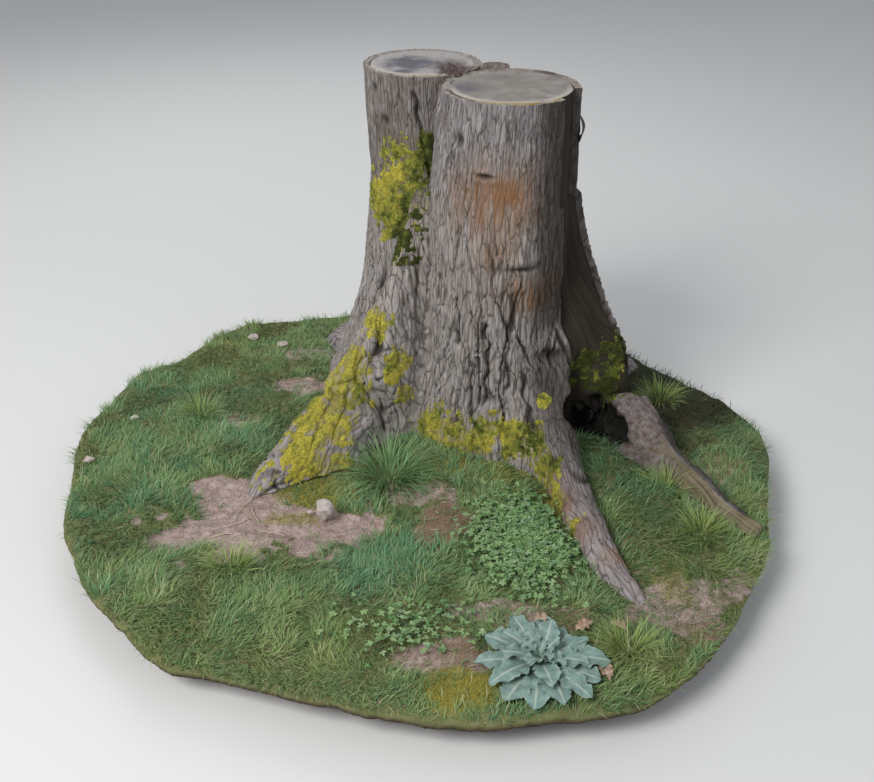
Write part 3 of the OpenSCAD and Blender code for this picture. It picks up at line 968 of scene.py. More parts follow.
def skin():
    """The stump's whole surface above the ground, with its relief, and the values its materials use."""
    points, quads = smooth_skin()
    edges = edges_of(quads)
    normals = normals_of(points, quads)
    owner = settle(nearest_node(points, STUMP_NODES), edges)
    is_in = {n: owner == k for k, n in enumerate(STUMP_NODES)}

    def spread(nodes, rounds):
        return relax(np.any([is_in[n] for n in nodes], axis=0) * 1.0, edges, rounds)

    bare = spread(BARE_NODES, 3)
    root = spread(ROOT_NODES, 10)
    worn_root = spread(["right_root"], 5)
    height = points[:, 2]
    to_right = smooth(-0.04, 0.04, (points[:, :2] - TRUNK_MID) @ np.array(CREASE_SIDE))
    right_stem = ((points[:, :2] - TRUNK_MID) @ TO_RIGHT > 0) * 1.0
    aloft = smooth(FORK - 0.08, FORK, height)
    to_right = to_right + aloft * (right_stem - to_right)
    to_left = 1 - to_right
    dim = shaded_sides(points, to_right, aloft, spread(["right_root_bark"], 4))
    lines = [root_line(n) for n in ("front_root", "right_root")]
    right, left = (bark_field(points, stem, lines, seed) for stem, seed in ((RIGHT, 100), (LEFT, 200)))
    deep, fine, grain = (to_right * right[k] + to_left * left[k] for k in range(3))
    ring = np.where(to_right[:, None] > 0.5, right[3], left[3])
    coarse = 1 - smooth(*COARSE, height)
    low_down = 1 - smooth(*FURROWED, height)
    bark = (1 - bare) * (1 - 0.85 * worn_root)
    grooves = to_right * furrows(points, RIGHT, lines, 45) * bark
    grooves += to_left * furrows(points, LEFT, lines, 46) * bark
    patchy = np.clip(0.7 + 0.8 * noise(points / 0.11, 41), 0.25, 1.3)
    depth = (CRACK_DEPTH[0] + CRACK_DEPTH[1] * coarse**1.5) * (1 - 0.35 * root) * patchy
    shallow = FINE_DEPTH[0] + FINE_DEPTH[1] * coarse
    shallow *= np.clip(0.7 + 0.7 * noise(points / 0.05, 42), 0.1, 1.2)
    turned_grain = to_right[:, None] * right[3] + to_left[:, None] * left[3]
    fibres = fbm(turned_grain * (46, 46, 7), 49, 4, 0.6)
    furrow_depth = FURROW_DEPTH[0] + FURROW_DEPTH[1] * low_down
    lift = -depth * deep - shallow * fine + GRAIN_DEPTH * grain - furrow_depth * grooves
    lift = bark * lift + (1 - bark) * WOOD_GRAIN_DEPTH * grain
    lift += FIBRE_DEPTH * np.maximum(root, worn_root) * fibres
    lift += (SWELLING[1] * coarse + SWELLING[0]) * fbm(points / (0.14, 0.14, 0.22), 43, 3)
    mark_lift, dark = marks(points, to_right)
    rust = rust_on(points)
    hollow = hollow_at(points)
    lift += mark_lift - HOLLOW_DEPTH * hollow
    points = points + normals * (lift * MM)[:, None]
    sink_tips(points, is_in)
    near_ground = points[:, 2] - plain_ground(points[:, :2])
    quads = quads[(near_ground > -FINAL_CUT)[quads].any(axis=1)]
    cracked = np.maximum(deep * depth / 8, 0.28 * fine * shallow) * bark
    furrowed = 0.52 * grooves * (0.25 + 0.75 * low_down)
    values = {
        # crack darkens cracks, furrows, knots and splits: partly their own dark colour, partly painted shade
        "crack": np.clip(np.max([cracked, furrowed, dark], axis=0), 0, 1),
        "ring": ring,
        "rust": np.clip(rust * bark, 0, 1),
        "moss": np.max([moss_amount(n, points) for n in MOSS_NODES], axis=0),
        # painted shade: darkens the hollow between the right roots to near black
        "hollow": np.clip(1.5 * hollow, 0, 1),
        "silver": smooth(*SILVERY, height) * to_right,
        "grain": grain,
        "dim": dim,
        "mauve": 1 - smooth(*MAUVE, points[:, 0] + 0.05 * noise(points / 0.05, 48)),
        "root": root,
        "coarse": coarse,
    }
    return points, quads, owner, values


def cut_level(points, quads):
    """Saws off everything above the sawn faces."""
    keep = points[quads][:, :, 2].min(axis=1) < TOP
    points = points.copy()
    points[:, 2] = np.minimum(points[:, 2], TOP)
    return points, keep


def piece_of(points, quads, values, keep):
    """The points, faces and values of some of the faces."""
    used, faces = compact(quads[keep])
    return points[used], faces, {k: v[used] for k, v in values.items()}


# ---------------------------------------------------------------- bark and wood materials

def bark_material():
    """Grey fissured bark: silvery high up, warmer below, lilac on the roots, with rust and a film of moss."""
    m = new_material("bark", 0.86, 0.2)
    where = place()
    ring = named("ring", "Vector")
    crack = named("crack")
    fibre = speckle(stretched(ring, (42, 42, 14)), 1, 6, 0.7, 0.6)
    sway = stretched(ring, (17, 17, 13))
    bent = add("VectorMath", {0: sway, 1: warp_of(sway, 1.2)}, operation="ADD").outputs[0]
    cells = add("TexVoronoi", {"Vector": bent, "Scale": 1.0}, feature="DISTANCE_TO_EDGE").outputs["Distance"]
    flake = speckle(place((1, 1, 0.3)), 110, 5, 0.7)
    broad = speckle(place((1, 1, 0.5)), 9, 3, 0.55)
    tone = speckle(where, 26, 4, 0.6)
    grey = tint((0.235, 0.192, 0.168), (0.345, 0.308, 0.29), broad, 0.38, 0.62)
    silver = blend(times(named("silver"), 0.9), grey, (0.215, 0.202, 0.215))
    warm = tint(silver, (0.22, 0.165, 0.12), tone, 0.42, 0.68, 0.5)
    root = times(named("root"), 0.7)
    lilac = blend(root, warm, tint((0.21, 0.175, 0.20), (0.33, 0.285, 0.33), tone, 0.35, 0.65))
    # raised grain is paler: partly weathered ridges, partly painted highlight
    raised = span(named("grain"), -0.15, 0.55, 0, 0.5)
    high = blend(raised, lilac, (0.38, 0.355, 0.345))
    pale = tint(high, (0.44, 0.42, 0.42), flake, 0.5, 0.68, 0.8)
    worn = blend(times(named("coarse"), 0.35), pale, (0.43, 0.40, 0.39))
    streak = tint(worn, (0.07, 0.056, 0.047), fibre, 0.52, 0.3, 0.7)
    # the fine fissures are darkened: partly their own colour, partly painted shade
    fissure = times(span(cells, 0.09, 0.0), span(tone, 0.35, 0.6, 0.25, 0.85))
    fissured = blend(fissure, streak, (0.04, 0.033, 0.028))
    rust = times(named("rust"), span(fibre, 0.28, 0.6, 0.45, 1))
    rusty = tint(fissured, blend(flake, (0.16, 0.075, 0.03), (0.36, 0.175, 0.07)), rust, 0.05, 0.8, 0.9)
    # cracks are darkened: partly their own colour, partly painted shade
    dark = tint(rusty, (0.022, 0.017, 0.013), crack, 0.2, 1.0, 0.9)
    film = plus(times(named("moss"), 0.9), span(tone, 0.3, 0.7, -0.45, 0.35))
    speck = plus(film, span(flake, 0.35, 0.65, -0.3, 0.3))
    moss = blend(flake, (0.14, 0.125, 0.025), (0.42, 0.37, 0.06))
    mossy = tint(dark, moss, speck, 0.45, 0.8, 0.85)
    dim = blend(times(named("dim"), 0.85), mossy, blend(flake, (0.012, 0.010, 0.008), (0.07, 0.058, 0.05)))
    # painted shade in the hollow between the right roots
    deep = blend(named("hollow"), dim, (0.006, 0.005, 0.004))
    rough = plus(times(fibre, 0.8), times(flake, 0.45))
    split = plus(rough, span(cells, 0.0, 0.12, 0, 0.5))
    return finished(m, deep, split, 3.4 * MM, 1.0)


def warp_of(vector, amount):
    """A smooth random push, to bend a pattern."""
    push = add("TexNoise", {"Vector": vector, "Scale": 0.35, "Detail": 3.0}).outputs["Color"]
    centred = add("VectorMath", {0: push, 1: (0.5, 0.5, 0.5)}, operation="SUBTRACT").outputs[0]
    return add("VectorMath", {0: centred, "Scale": amount}, operation="SCALE").outputs[0]


def bare_wood_material():
    """Barkless, weathered wood with fine grain, very dark: partly its own colour, partly painted shade."""
    m = new_material("bare_wood", 0.75, 0.15)
    ring = named("ring", "Vector")
    fine = speckle(stretched(ring, (60, 60, 3)), 1, 6, 0.7, 0.3)
    broad = speckle(stretched(ring, (9, 9, 1.5)), 1, 4, 0.6)
    base = tint((0.021, 0.017, 0.012), (0.040, 0.033, 0.024), broad, 0.35, 0.65)
    grain = tint(base, (0.012, 0.010, 0.007), fine, 0.52, 0.32, 0.8)
    light = tint(grain, (0.075, 0.065, 0.048), fine, 0.58, 0.76, 0.5)
    # cracks are darkened: partly their own colour, partly painted shade
    dark = tint(light, (0.008, 0.006, 0.005), named("crack"), 0.1, 0.9, 0.9)
    # painted shade in the hollow between the right roots
    return finished(m, blend(named("hollow"), dark, (0.004, 0.003, 0.002)), fine, 1.2 * MM, 0.8)


def root_wood_material():
    """Tan wood where a root has lost its bark, with old mauve bark where it leaves the trunk."""
    m = new_material("root_wood", 0.75, 0.25)
    ring = named("ring", "Vector")
    where = place()
    fine = speckle(stretched(ring, (70, 70, 4)), 1, 6, 0.7, 0.3)
    broad = speckle(where, 18, 4, 0.6)
    flake = speckle(where, 75, 5, 0.7)
    base = tint((0.14, 0.118, 0.07), (0.27, 0.228, 0.142), broad, 0.35, 0.65)
    lined = tint(base, (0.09, 0.065, 0.042), fine, 0.56, 0.4, 0.85)
    grain = tint(lined, (0.025, 0.02, 0.014), fine, 0.44, 0.3, 0.9)
    grey = tint(grain, (0.17, 0.16, 0.14), broad, 0.55, 0.75, 0.5)
    bark = tint((0.075, 0.052, 0.045), (0.235, 0.205, 0.205), flake, 0.35, 0.65)
    brown = tint(bark, (0.12, 0.065, 0.03), broad, 0.52, 0.62, 0.6)
    barky = blend(named("mauve"), grey, brown)
    rusty = blend(times(named("rust"), 0.9), barky, blend(flake, (0.11, 0.06, 0.015), (0.26, 0.16, 0.05)))
    # cracks are darkened: partly their own colour, partly painted shade
    cracked = tint(rusty, (0.02, 0.015, 0.012), named("crack"), 0.2, 0.9, 0.9)
    # painted shade in the hollow between the right roots
    colour = blend(named("hollow"), cracked, (0.005, 0.004, 0.003))
    return finished(m, colour, plus(fine, times(flake, 0.7)), 2.4 * MM, 0.9)


BARK = bark_material()
BARE_WOOD = bare_wood_material()
ROOT_WOOD = root_wood_material()

FEWEST_FACES = 20        # a node with fewer on the surface is inside the others
ROOT_GRAIN = 2.6         # roots lie further out, so their grain is this much finer in angle
SLOTS = {
    "trunk_wood": ("weathered_wood", BARE_WOOD), "left_stem_wood": ("sawn_wood", BARE_WOOD),
    "right_stem_wood": ("sawn_wood", BARE_WOOD), "trunk_bark": ("bark", BARK),
    "left_stem_bark": ("bark", BARK), "right_stem_bark": ("bark", BARK), "fork_knob": ("bark", BARK),
    "left_root": ("root_bark", BARK), "front_root": ("root_bark", BARK),
    "right_root": ("root_wood", ROOT_WOOD), "right_root_bark": ("root_bark", BARK),
    "back_left_root": ("root_bark", BARK), "back_right_root": ("root_bark", BARK),
}


def stump():
    """The skin cut at the sawn faces and shared out among the nodes it covers."""
    points, quads, owner, values = skin()
    points, kept = cut_level(points, quads)
    face_owner = owner[quads[:, 0]]
    for k, node in enumerate(STUMP_NODES):
        keep = kept & (face_owner == k)
        if keep.sum() < FEWEST_FACES:
            continue
        slot, material = SLOTS[node]
        p, f, v = piece_of(points, quads, values, keep)
        if node in ROOT_NODES:
            v["ring"] = v["ring"] * (ROOT_GRAIN, ROOT_GRAIN, 1)
        stand_for(make(node + "_skin", p, f, material, v), slot, node)
    return points, quads[kept], values


# ---------------------------------------------------------------- sawn faces

CAP_STEP = 2.6 * MM      # between the points that fill the sawn faces
# Depths on the sawn faces in mm; where there are two, the second is how much the depth varies
GAP_DEPTH = 4.5
SPLIT_DEPTH = 0.7
NOTCH_DEPTH = 16
ROT_DEPTH = (9, 7)
VALLEY_DEPTH = (7, 9)
SHORT_LOOP = 12          # loops at the cut with no more points than this are dropped
ROT_AT = LEFT_TOP + (0.082, -0.050)
NOTCH_AT = RIGHT_TOP + (0.096, -0.132)
OLD_BARK_AT = RIGHT_TOP + (0.105, 0.140)
GREEN_AT = (0.02, 0.02)          # from the right stem's middle
GREEN_SIZES = (0.06, 0.045)
DRYING_CRACKS = [(35, 0.07), (150, 0.08)]    # direction and length
# Stains on the sawn faces: stem (0 left, 1 right), offset from its middle, half sizes and strength
STAINS = [(0, (-0.030, -0.010), (0.075, 0.085), 1.0), (0, (-0.045, -0.095), (0.034, 0.034), 0.9),
          (0, (0.045, 0.0), (0.070, 0.085), 0.5), (1, (-0.110, -0.010), (0.072, 0.062), 0.72),
          (1, (-0.02, 0.085), (0.080, 0.045), 0.45)]


def top_loops(points, quads):
    """The closed lines where the skin ends at the saw cut, each in order, the longest first."""
    steps = set()
    for a, b in ((0, 1), (1, 2), (2, 3), (3, 0)):
        both = (points[quads[:, a], 2] >= TOP - 1e-6) & (points[quads[:, b], 2] >= TOP - 1e-6)
        steps |= {tuple(pair) for pair in quads[both][:, [a, b]].tolist()}
    after = {i: j for i, j in sorted(steps) if (j, i) not in steps}
    loops = []
    while after:
        start, here = after.popitem()
        loop = [start]
        while here in after:
            loop.append(here)
            here = after.pop(here)
        loops.append(loop)
    return sorted((loop for loop in loops if len(loop) > SHORT_LOOP), key=len, reverse=True)


def wood_outline(node):
    """The outline of a CAD stem's wood at the saw cut, in order round its middle."""
    points, _ = node_mesh(node)
    ring = np.unique(np.round(points[points[:, 2] > TOP - 0.1 * MM][:, :2], 6), axis=0)
    turn, far = polar(ring - (ring.max(0) + ring.min(0)) / 2)
    on_edge = far > 0.5 * far.max()
    return ring[on_edge][np.argsort(turn[on_edge])]


def inset(xy, outline):
    """How far inside an outline each point lies, in metres, and less than 0 outside it."""
    near = np.full(len(xy), 9.0)
    inside = np.zeros(len(xy), bool)
    for a, b in zip(outline, np.roll(outline, -1, axis=0)):
        d = b - a
        t = np.clip((xy - a) @ d / max(d @ d, 1e-12), 0, 1)
        near = np.minimum(near, np.linalg.norm(xy - a - t[:, None] * d, axis=1))
        if a[1] != b[1]:
            crosses = (a[1] > xy[:, 1]) != (b[1] > xy[:, 1])
            inside ^= crosses & (xy[:, 0] < a[0] + (xy[:, 1] - a[1]) * d[0] / d[1])
    return np.where(inside, near, -near)


def cap_mesh(rims):
    """Points and triangles that fill the saw cut inside the first rim and outside the others, and how
    far each point is from the nearest rim."""
    low = rims[0].min(0)
    high = rims[0].max(0)
    grid = np.column_stack([*each_pair(*(np.arange(low[k], high[k], CAP_STEP) for k in (0, 1)))])

    def within(xy):
        return np.min([inset(xy, rims[0])] + [-inset(xy, r) for r in rims[1:]], axis=0)

    grid = grid[within(grid) > 0.8 * CAP_STEP]
    edges = []
    start = 0
    for r in rims:
        edges += [(start + i, start + (i + 1) % len(r)) for i in range(len(r))]
        start += len(r)
    result = delaunay_2d_cdt([Vector(p) for p in np.vstack([*rims, grid]).tolist()], edges, [], 0, 1e-7)
    xy = np.array([tuple(p) for p in result[0]])
    faces = np.array(result[2])
    a, b, c = (xy[faces[:, k]] for k in range(3))
    d1 = b - a
    d2 = c - a
    up = d1[:, 0] * d2[:, 1] - d1[:, 1] * d2[:, 0]
    faces[up < 0] = faces[up < 0][:, ::-1]
    faces = faces[(within((a + b + c) / 3) > 0) & (np.abs(up) > 1e-10)]
    return xy, faces, np.maximum(within(xy), 0)


def sawn_relief(xy, wood, side_far, middle):
    """A slight unevenness, the gap under the bark, drying cracks, rot and broken bark, all below the cut."""
    at = np.column_stack([xy, np.zeros(len(xy))])
    turn, far = polar(xy - middle)
    gap = bell(wood - 1 * MM, 2.4 * MM) * smooth(3 * MM, 8 * MM, side_far)
    gap *= smooth(-0.35, 0.15, noise(at / 0.05, 301))
    chips = 3.2 * np.abs(noise(at / 0.010, 302)) + 3.0 * smooth(10 * MM, 22 * MM, -wood)
    chipped = (wood < 0) * (1.0 + chips)
    z = -GAP_DEPTH * gap - chipped - 0.7 * np.abs(fbm(at / 0.05, 303, 3)) - 1.5 * bell(side_far, 3 * MM)
    split = np.zeros(len(xy))
    for k, (angle, length) in enumerate(DRYING_CRACKS):
        wobble = 0.12 * noise(at / 0.03, 310 + k)
        across = ((turn - math.radians(angle) + wobble + math.pi) % TAU - math.pi) * far
        split = np.maximum(split, bell(across, 1.5 * MM) * smooth(0.012, 0.03, far) * (far < length))
    z -= SPLIT_DEPTH * split * (wood > 0)
    ragged = 0.014 * noise(at / 0.025, 320)
    rot = 1 - smooth(0.025, 0.075, oval(xy, ROT_AT, (0.85, 1.4)) + ragged)
    z -= rot * (ROT_DEPTH[0] + ROT_DEPTH[1] * noise(at / 0.012, 321))
    notch = bell(oval(xy, NOTCH_AT, (1.4, 1.0)) + 0.5 * ragged, 15 * MM)
    z -= NOTCH_DEPTH * notch
    rot = np.maximum(rot, 0.8 * bell(oval(xy, OLD_BARK_AT, (1, 1)), 0.045) * (wood < 5 * MM))
    valley = smooth(14 * MM, 34 * MM, -wood)
    z -= valley * (VALLEY_DEPTH[0] + VALLEY_DEPTH[1] * noise(at / 0.02, 322))
    z *= smooth(0.0, 3 * MM, side_far)
    gap = np.maximum(np.maximum(gap, notch), 0.4 * split * (wood > 0))
    return np.minimum(z, 0) * MM, np.clip(gap, 0, 1), np.clip(rot, 0, 1), valley


def sawn_material():
    """Weathered end grain: pale sapwood, grey-blue heart stain, rings and saw marks."""
    m = new_material("sawn_face", 0.8, 0.2)
    where = place()
    local = named("local", "Vector")
    blotch = speckle(where, 22, 5, 0.6, 0.4)
    fine = speckle(where, 260, 4, 0.7)
    rings = waves(local, 62.0, 2.2, 3.0, wave_type="RINGS", rings_direction="Z")
    saw = waves(stretched(where, (1, 1, 1), 0.5), 55.0, 1.6, 2.0)
    base = tint((0.225, 0.205, 0.185), (0.36, 0.335, 0.315), blotch, 0.35, 0.65)
    ringed = blend(times(rings, 0.35), base, (0.13, 0.115, 0.10))
    bleached = blend(named("pale"), ringed, (0.44, 0.425, 0.43))
    stain = span(plus(named("stain"), span(blotch, 0.3, 0.7, -0.3, 0.3)), 0.25, 0.8, 0, 0.9)
    stained = blend(stain, bleached, (0.085, 0.08, 0.11))
    green = blend(times(named("green"), 0.5), stained, (0.20, 0.215, 0.155))
    cream = tint(green, (0.50, 0.46, 0.41), named("rim"), 0.2, 0.9, 0.75)
    specks = tint(cream, (0.12, 0.10, 0.085), fine, 0.55, 0.35, 0.45)
    rotten = tint((0.03, 0.02, 0.02), (0.14, 0.095, 0.09), fine, 0.35, 0.65)
    rot = blend(named("rot"), specks, rotten)
    line = tint(rot, (0.03, 0.022, 0.016), named("gap"), 0.15, 0.75, 0.9)
    lichen = times(named("lichen"), span(blotch, 0.3, 0.5))
    yellow = blend(lichen, line, (0.32, 0.23, 0.02))
    return finished(m, yellow, plus(times(saw, 0.5), fine), 0.7 * MM, 0.8)


def cut_bark_material():
    """The rough edge of the bark where the saw went through it."""
    m = new_material("cut_bark", 0.9, 0.15)
    blotch = speckle(place(), 60, 5, 0.65)
    base = tint((0.15, 0.125, 0.105), (0.36, 0.33, 0.305), blotch, 0.3, 0.7)
    rotten = blend(named("rot"), base, blend(blotch, (0.03, 0.02, 0.02), (0.13, 0.085, 0.085)))
    line = tint(rotten, (0.03, 0.022, 0.016), named("gap"), 0.15, 0.75, 0.9)
    lichen = times(named("lichen"), span(blotch, 0.3, 0.5))
    return finished(m, blend(lichen, line, (0.32, 0.23, 0.02)), blotch, 1.5 * MM, 0.9)


def sawn_tops(points, quads):
    """The sawn face of each stem, its bark edge and its wood as separate pieces."""
    wood_finish = sawn_material()
    edge_finish = cut_bark_material()
    rims = [points[loop][:, :2] for loop in top_loops(points, quads)]
    xy, faces, side_far = cap_mesh(rims)
    left, right = (inset(xy, wood_outline(f"{side}_stem_wood")) for side in ("left", "right"))
    is_left = left > right
    wood = np.maximum(left, right)
    middle = np.where(is_left[:, None], LEFT_TOP, RIGHT_TOP)
    z, gap, rot, valley = sawn_relief(xy, wood, side_far, middle)
    d = xy - middle
    front = np.degrees(polar(d)[0])
    stain = np.zeros(len(xy))
    for on_right, offset, sizes, full in STAINS:
        stain = np.maximum(stain, full * bell(oval(d, offset, sizes), 1) * (is_left != bool(on_right)))
    values = {
        "local": np.column_stack([d, np.zeros(len(d))]),
        "pale": is_left * 0.65,
        "gap": gap,
        "rot": np.maximum(rot, 0.4 * valley),
        "rim": bell(wood - 8 * MM, 11 * MM) * smooth(-120, -60, -np.abs(off_by(front, -90))),
        "stain": stain,
        "green": ~is_left * bell(oval(xy, RIGHT_TOP + GREEN_AT, GREEN_SIZES), 1),
        "lichen": bell(wood - 1 * MM, 3.5 * MM) * bell(off_by(front, -78), 36) * np.where(is_left, 0.35, 1),
    }
    solid = np.column_stack([xy, TOP + z])
    face_wood = wood[faces].mean(axis=1) > 0
    face_left = is_left[faces].sum(axis=1) > 1
    for side, here in (("left", face_left), ("right", ~face_left)):
        p, f, v = piece_of(solid, faces, values, here & face_wood)
        stand_for(make(f"{side}_sawn_face", p, f, wood_finish, v), "sawn_wood", f"{side}_stem_wood")
        p, f, v = piece_of(solid, faces, values, here & ~face_wood)
        stand_for(make(f"{side}_cut_bark", p, f, edge_finish, v), "bark", f"{side}_stem_bark")


# ---------------------------------------------------------------- ground

GRID_N = 400             # points along each side of the ground's grid
RIM_STEPS = 9            # rings of faces down the cut edge
RIM_TURN = 5             # degrees between the corners of the soil bed's cut edge
RIM_DROP = 12 * MM
UNDERCUT = 90 * MM       # how far the cut edge slopes in on its way down


def rim_radius(turn):
    """Distance from the middle to the cut edge, in each direction (radians)."""
    corner_turn, far = polar(node_mesh("soil_bed")[0])
    key = np.round(np.degrees(corner_turn) / RIM_TURN).astype(int) % (360 // RIM_TURN)
    radii = np.array([far[key == k].max() for k in range(360 // RIM_TURN)])
    angles = np.arange(0, 360, RIM_TURN)
    smooth_rim = np.interp(np.degrees(turn) % 360, angles, radii, period=360)
    return smooth_rim + 4 * MM * fbm(heading(turn) * 9, 81, 4, 0.6) - 3 * MM


def round_grid(n):
    """An n by n grid laid over a disc: share of the way out, and direction, for each point."""
    line = np.linspace(-1, 1, n)
    a, b = each_pair(line, line)
    wide = np.abs(a) > np.abs(b)
    out = np.where(wide, a, b)
    safe = np.where(np.abs(out) < 1e-9, 1, out)
    turn = np.where(wide, math.pi / 4 * b / safe, math.pi / 2 - math.pi / 4 * a / safe)
    return np.abs(out), np.where(out < 0, turn + math.pi, turn) % TAU


def ground_surface():
    """The whole top of the disc, its ragged cut edge and its flat underside."""
    share, turn = round_grid(GRID_N)
    xy = (share * rim_radius(turn))[:, None] * heading(turn)[:, :2]
    top = np.column_stack([xy, ground_z(xy) - 2 * MM])
    quads, edge = sheet(GRID_N, GRID_N)
    rim = top[edge]
    inward = -rim[:, :2] / np.linalg.norm(rim[:, :2], axis=1)[:, None]
    count = len(edge)
    points = [top]
    faces = quads.tolist()
    above = edge
    for k in range(1, RIM_STEPS + 1):
        t = k / RIM_STEPS
        drop = RIM_DROP + (rim[:, 2] - RIM_DROP) * t
        z = rim[:, 2] - drop if k < RIM_STEPS else np.zeros(count)
        ring = np.column_stack([rim[:, :2] + inward * UNDERCUT * t**1.3, z])
        crumb = 7 * MM * fbm(ring / 0.03, 90, 3, 0.6) * math.sin(math.pi * min(t, 0.999))
        ring[:, :2] += inward * np.abs(crumb)[:, None]
        below = np.arange(count) + sum(len(p) for p in points)
        faces += np.column_stack([above, below, np.roll(below, -1), np.roll(above, -1)]).tolist()
        points.append(ring)
        above = below
    middle = np.full(count, sum(len(p) for p in points))
    points.append(np.zeros((1, 3)))
    faces += np.column_stack([middle, np.roll(above, -1), above]).tolist()
    return np.vstack(points), [tuple(f) for f in faces], len(top)


def ground_material():
    """Thatch, moss and crumbly earth between the blades."""
    m = new_material("ground", 0.95, 0.1)
    where = place()
    broad = speckle(where, 7, 4, 0.6)
    mid = speckle(where, 34, 5, 0.65)
    fine = speckle(where, 210, 4, 0.7)
    straws = speckle(stretched(where, (1, 0.25, 1), 0.6), 330, 3, 0.6, 1.5)
    thatch = tint((0.08, 0.085, 0.035), (0.20, 0.20, 0.09), mid, 0.35, 0.65)
    olive = tint(thatch, (0.13, 0.16, 0.055), broad, 0.42, 0.6, 0.6)
    dry = tint(olive, (0.38, 0.34, 0.22), straws, 0.54, 0.7, 0.8)
    earth = tint((0.27, 0.185, 0.165), (0.54, 0.42, 0.40), mid, 0.3, 0.7)
    red = blend(times(named("red"), 0.8), earth, (0.19, 0.115, 0.06))
    crumbs = tint(red, (0.085, 0.058, 0.042), fine, 0.55, 0.35, 0.6)
    litter = tint(crumbs, (0.52, 0.46, 0.36), straws, 0.6, 0.74, 0.6)
    worn = span(plus(named("bare"), span(mid, 0.3, 0.7, -0.2, 0.2)), 0.3, 0.6)
    top = blend(worn, dry, litter)
    mossy = tint(top, blend(mid, (0.17, 0.14, 0.035), (0.34, 0.31, 0.06)), named("moss"), 0.3, 0.8, 0.85)
    # painted shadow of the stump on the ground behind it
    shaded = blend(named("shade"), mossy, (0.022, 0.018, 0.01))
    side = tint((0.035, 0.024, 0.017), (0.10, 0.068, 0.047), mid, 0.3, 0.7)
    return finished(m, blend(named("side"), shaded, side), plus(mid, times(fine, 0.6)), 4 * MM, 0.9)


# Painted shadow of the stump on the ground and grass behind it: middle and half sizes
STUMP_SHADOW = ((0.66, 0.36), (0.30, 0.26))
# Reddish earth: middle and half sizes
RED_EARTH = [((0.10, -0.28), (0.16, 0.12)), ((0.42, -0.70), (0.35, 0.12))]
# Mossy ground: middle, half sizes and how mossy
MOSS_SPOTS = [((0.09, -0.80), (0.09, 0.06), 1.0), ((0.14, -0.02), (0.26, 0.06), 0.6),
              ((-0.31, -0.22), (0.08, 0.04), 0.6), ((0.34, -0.25), (0.04, 0.20), 0.6),
              ((0.60, -0.45), (0.05, 0.10), 0.5), ((-0.25, -0.12), (0.12, 0.07), 0.8)]


def spot(xy, middle, sizes, seed=400):
    """1 in the middle of an oval with a ragged edge, 0 outside it."""
    return 1 - smooth(0.6, 1.35, oval(xy, middle, sizes) + 0.3 * plane_noise(xy, 0.08, seed))


def mossiness(xy):
    """From 0 on plain ground to 1 on moss."""
    total = np.zeros(len(xy))
    for middle, sizes, full in MOSS_SPOTS:
        total = np.maximum(total, full * spot(xy, middle, sizes, 410))
    return total


def ground():
    """The disc of earth with its thatch, moss, worn patches and cut edge."""
    points, faces, on_top = ground_surface()
    side = np.ones(len(points))
    side[:on_top] = 0
    values = {
        "bare": bareness(points[:, :2]),
        "moss": mossiness(points[:, :2]),
        # painted shadow of the stump on the ground behind it
        "shade": 0.85 * spot(points[:, :2], *STUMP_SHADOW),
        "side": side,
        "red": np.max([spot(points[:, :2], *oval_of) for oval_of in RED_EARTH], axis=0),
    }
    stand_for(make("ground", points, faces, ground_material(), values), "soil", "soil_bed")


# ---------------------------------------------------------------- grass

# Zones of the turf: middle, half sizes, tone (0 dark green to 1 yellow-green), teal, blade length in mm
ZONES = [
    ((0.72, -0.36), (0.16, 0.20), 0.62, 0.10, 52), ((0.66, -0.16), (0.10, 0.10), 0.12, 0.45, 40),
    ((0.56, 0.04), (0.10, 0.07), 0.15, 0.90, 46), ((-0.09, -0.42), (0.16, 0.11), 0.10, 0.55, 42),
    ((-0.42, -0.56), (0.30, 0.16), 0.50, 0.10, 46), ((-0.73, 0.05), (0.20, 0.16), 0.42, 0.20, 44),
    ((-0.75, -0.24), (0.14, 0.14), 0.10, 0.35, 42), ((-0.55, 0.62), (0.30, 0.22), 0.60, 0.10, 34),
    ((-0.62, 0.36), (0.24, 0.14), 0.25, 0.60, 34), ((-0.15, -0.70), (0.18, 0.12), 0.72, 0.05, 34),
    ((0.02, -0.62), (0.12, 0.12), 0.55, 0.35, 30), ((0.48, -0.71), (0.08, 0.07), 0.85, 0.00, 60),
    ((0.56, -0.60), (0.14, 0.10), 0.70, 0.30, 30), ((0.74, -0.05), (0.10, 0.10), 0.55, 0.15, 34),
    ((-0.45, 0.16), (0.18, 0.12), 0.35, 0.55, 38), ((0.84, 0.30), (0.12, 0.20), 0.05, 0.30, 30),
    ((0.30, 0.85), (0.60, 0.20), 0.35, 0.20, 34),
]
PLAIN_GRASS = (0.4, 0.3, 36)     # tone, teal and length between the zones
PLAIN_SHARE = 0.25


def grass_style(xy):
    """Tone, teal and blade length in metres at each place."""
    total = np.full(len(xy), PLAIN_SHARE)
    mixed = np.full((len(xy), 3), PLAIN_SHARE) * PLAIN_GRASS
    for middle, sizes, *style in ZONES:
        near = bell(oval(xy, middle, sizes), 1)
        total += near
        mixed += near[:, None] * style
    tone, teal, length = (mixed / total[:, None]).T
    tone = tone + 0.34 * plane_noise(xy, 0.10, 501) + 0.22 * plane_noise(xy, 0.035, 502, 2)
    teal = teal + 0.25 * plane_noise(xy, 0.12, 503)
    return np.clip(tone, 0, 1), np.clip(teal, 0, 1), length * MM


